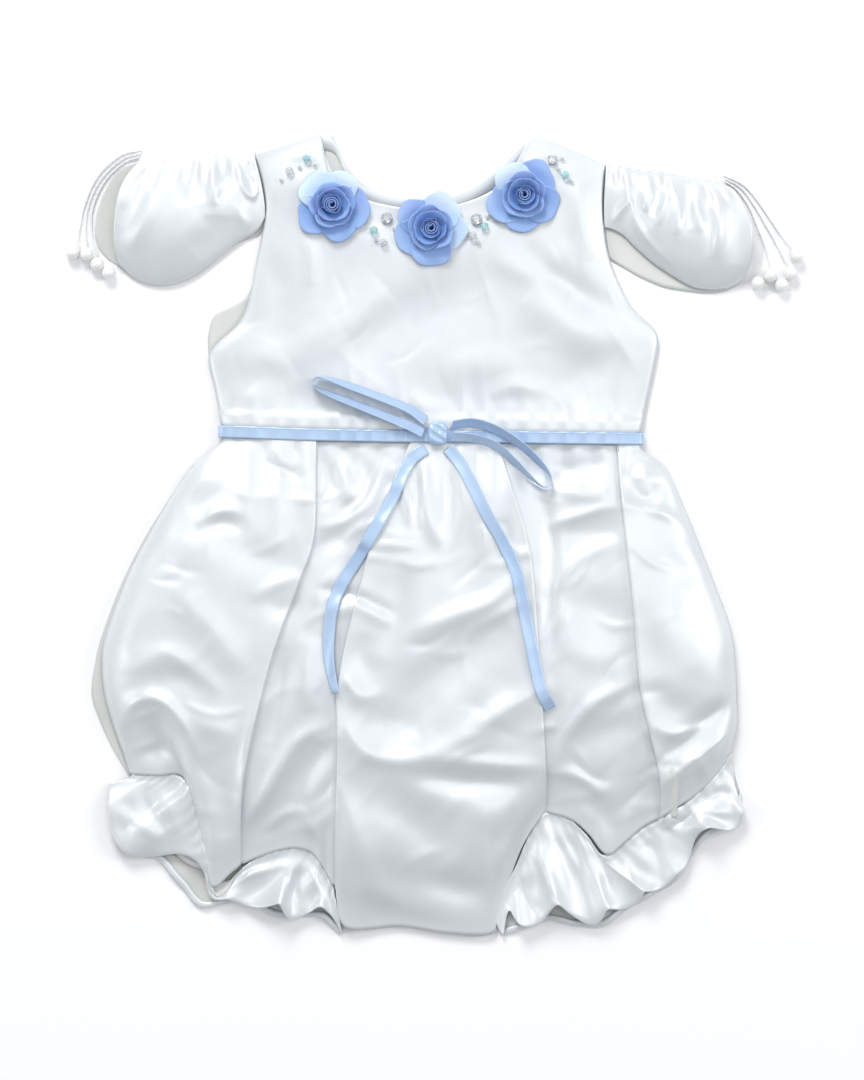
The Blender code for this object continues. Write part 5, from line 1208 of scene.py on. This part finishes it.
# A rose: rings of cupped petals, each ring turned between the one below, and a spiral wall for the bud.
def makeRose(name, x, y, turn, pale, height, look):
    v = roseValues
    grids, tones, seed = [], [], x
    for k, (count, radius, out, base, tilt, cup, tone) in enumerate(v["rings"]):
        for i in range(count):
            seed += 1.7
            angle = math.radians(turn) + 2 * pi * (i + 0.5 * k) / count + 0.12 * math.sin(seed)
            size = radius * (1 + 0.06 * math.sin(2.3 * seed))
            grid = petalGrid(size, out, base + 0.25 * (i % 2), tilt + 4 * math.sin(seed), cup, angle, seed)
            grids.append(grid)
            inner = np.hypot(grid[..., 0], grid[..., 1])
            shown = v["pale"] if k == 0 and i in pale else tone
            deeper = (0.12 + 0.5 * shown) * (1 - inner / (out + radius)) + 0.05 * math.sin(3.1 * seed)
            tones.append(np.clip(shown + deeper, 0, 1))
    bud = v["bud"]
    t, u = np.linspace(0, 1, 110)[None], np.linspace(0, 1, 8)[:, None]
    spin = math.radians(turn) + 2 * pi * bud["turns"] * t
    wide = bud["start"] + (bud["end"] - bud["start"]) * t + u**2 * 0.9
    z = bud["low"] + (bud["high"] - bud["low"]) * u * (1 - 0.18 * t) + 0.25 * np.sin(3 * spin) * u
    grids.append(np.stack([wide * np.cos(spin), wide * np.sin(spin), z], axis=-1))
    tones.append(1.0 - 0.45 * u - 0.1 * t)
    points, faces, tone, first = [], [], [], 0
    for grid, value in zip(grids, tones):
        ring = grid is not grids[-1]
        points.append(grid.reshape(-1, 3))
        faces.append(gridFaces(*grid.shape[:2], ring=ring, flip=not ring) + first)
        tone.append(np.broadcast_to(value, grid.shape[:2]).ravel())
        first += len(points[-1])
    reach = v["width"] / 2 * 0.8
    ground = max(height(x + reach * k * math.cos(a), y + reach * k * math.sin(a))
                 for a in np.linspace(0, 2 * pi, 12) for k in (0, 0.5, 1))
    points = np.vstack(points)
    points[:, 2] = np.maximum(points[:, 2], v["lowest"])
    made = addPiece(name, points + (x, y, ground), np.vstack(faces), [look])
    made.data.attributes.new("depth", "FLOAT", "POINT").data.foreach_set("value", np.concatenate(tone))
    shell = made.modifiers.new("Solidify", "SOLIDIFY")
    shell.thickness = v["thick"] * mm
    shell.offset = 0
    return standsFor(made, name)


# Beads and stones. Rows: name, x, y, and the tone or the number of sides.
trimValues = dict(
    gap=0.1, beadWidth=4.6, beadSides=8, stoneWidth=6.4, seedWidth=2.4, seedTall=2.2, seedSides=6,
    seedRise=1.2,
    # Profiles: share of the half width, and share of the half height or millimetres up.
    bead=[(0.28, -1), (0.8, -0.55), (1.0, 0), (0.8, 0.55), (0.28, 1)],
    setting=[(0.95, 0.0), (1.0, 0.3), (1.0, 1.5), (0.9, 1.7)], gem=[(0.88, 1.4), (0.84, 1.9), (0.5, 3.1)],
    beads=[("bead_1", -62.6, 203.2, "aqua"), ("bead_2", -72.0, 196.5, "clear"),
           ("bead_3", -26.4, 164.2, "aqua"), ("bead_4", -21.0, 157.6, "clear"),
           ("bead_5", 27.2, 161.2, "clear"), ("bead_6", 33.5, 166.5, "aqua"),
           ("bead_7", 77.2, 194.2, "aqua")],
    stones=[("stone_1", -19.4, 170.8, 8), ("stone_2", 29.2, 170.2, 8), ("stone_3", 70.4, 202.4, 4)],
    seeds=[(-66.4, 198.4), (-58.2, 199.4), (-76.4, 191.6), (-30.6, 168.6), (-25.2, 158.8), (-15.2, 165.0),
           (23.0, 165.8), (35.2, 171.6), (30.4, 157.2), (73.6, 197.2), (80.8, 190.4), (75.6, 203.0)])


# A profile carried round its axis with flat sides: size cos(angle), size sin(angle), height.
def facetedRings(profile, halfWidth, halfHeight, sides, turn):
    size, z = (np.array(row)[:, None] for row in zip(*profile))
    angle = turn + np.linspace(0, 2 * pi, sides, endpoint=False)[None]
    size, z = size * halfWidth, z * halfHeight
    return np.stack([size * np.cos(angle), size * np.sin(angle), z + 0 * angle], axis=-1)


# Faces of a stack of rings with both ends closed.
def closedRings(points):
    rows, sides = points.shape[:2]
    faces = gridFaces(rows, sides, ring=True).tolist()
    return faces + [list(range(sides))[::-1], [(rows - 1) * sides + i for i in range(sides)]]


# Beads, stones in their settings, and one mesh of seed beads, each on the cloth under it.
def makeTrims(height, looks):
    v = trimValues
    half = v["beadWidth"] / 2
    for name, x, y, tone in v["beads"]:
        bead = facetedRings(v["bead"], half, half, v["beadSides"], x)
        mesh = bead + (x, y, highestUnder(height, x, y, 1, 1) + v["gap"] + half)
        made = addPiece(name, mesh, closedRings(bead), [looks[tone]], smooth=False, kind="glass")
        standsFor(made, name)
    half = v["stoneWidth"] / 2
    for name, x, y, sides in v["stones"]:
        cup, gem = (facetedRings(v[profile], half, 1, sides, pi / 4) for profile in ("setting", "gem"))
        cupFaces, gemFaces = closedRings(cup), closedRings(gem)
        shift = cup.shape[0] * sides
        faces = cupFaces + [[i + shift for i in face] for face in gemFaces]
        ground = highestUnder(height, x, y, half, half)
        points = np.vstack([cup.reshape(-1, 3), gem.reshape(-1, 3)]) + (x, y, ground + v["gap"])
        made = addPiece(name, points, faces, [looks["silver"], looks["clear"]], smooth=False, kind="glass")
        made.data.polygons.foreach_set("material_index", [0] * len(cupFaces) + [1] * len(gemFaces))
        standsFor(made, name)
    points, faces = [], []
    for k, (x, y) in enumerate(v["seeds"]):
        seed = facetedRings(v["bead"], v["seedWidth"] / 2, v["seedTall"] / 2, v["seedSides"], k)
        faces += [[i + k * seed[..., 0].size for i in face] for face in closedRings(seed)]
        points.append((seed + (x, y, height(x, y) + v["seedRise"])).reshape(-1, 3))
    made = addPiece("seed_beads", np.vstack(points), faces, [looks["clear"]], smooth=False, kind="glass")


makeCamera()
makeStudio()
looks = makeLooks()
print("camera, studio and finishes made")
makeStrings(looks)
print("drawstrings and pearls made")

bodiceFront, bodiceBack = makeBodice(looks)
bloomerFront, bloomerBack = makeBloomer(looks)
frills = makeFrills(looks, surfaceOf(bloomerFront))
sleeves = makeSleeves(looks)
print("cloth made")

onCloth = surfaceOf(bodiceFront, bloomerFront)
waistRibbon = makeWaistRibbon(onCloth, looks["ribbon"])
onTie = surfaceOf(bodiceFront, bloomerFront, waistRibbon)
makeKnot(onTie, looks["ribbon"])
for name, route in ribbonValues["loops"].items():
    standsFor(makeLoop(name, route, onTie, looks["ribbon"]), name)
for name, route in ribbonValues["tails"].items():
    tail, centre = makeTail(name, route, onTie, looks["ribbon"])
    standsFor(tail, name)
    length = float(np.linalg.norm(np.diff(centre, axis=0), axis=1).sum()) * mm
    print(name, "length", round(length, 4))
standsFor(waistRibbon, "waist_ribbon")

makeStitches(onTie, looks["thread"])
print("tie made")

onBodice = surfaceOf(bodiceFront)
for name, x, y, turn, pale in roseValues["places"]:
    makeRose(name, x, y, turn, pale, onBodice, looks["petal"])
makeTrims(onBodice, looks)
print("roses and beads made")

# Each panel as it is cut: width, length and area in metres, how it is held, and what it lies on.
sheetSizes = {
    "bodice_front": (0.25, 0.17, 0.034, "laid", ["bodice_back"]),
    "bodice_back": (0.25, 0.17, 0.036, "laid", []),
    "bloomer_front": (0.48, 0.29, 0.12, "gathered", ["bloomer_back"]),
    "bloomer_back": (0.37, 0.28, 0.083, "laid", []),
    "sleeve_left": (0.15, 0.10, 0.0125, "gathered", []),
    "sleeve_right": (0.15, 0.10, 0.0115, "gathered", []),
    "frill_front_left": (0.24, 0.030, 0.0058, "gathered", ["frill_back_left"]),
    "frill_front_right": (0.26, 0.045, 0.0075, "gathered", ["frill_back_right"]),
    "frill_back_left": (0.20, 0.030, 0.0036, "laid", []),
    "frill_back_right": (0.20, 0.030, 0.0040, "laid", [])}
panels = {"bodice_front": bodiceFront, "bodice_back": bodiceBack, "bloomer_front": bloomerFront,
          "bloomer_back": bloomerBack, **frills, **sleeves}
for name, (width, length, cut, held, under) in sheetSizes.items():
    standsFor(panels[name], name)
    area = sum(face.area for face in panels[name].data.polygons)
    print(name, "cloth area", round(area, 5), "of the cut", cut)
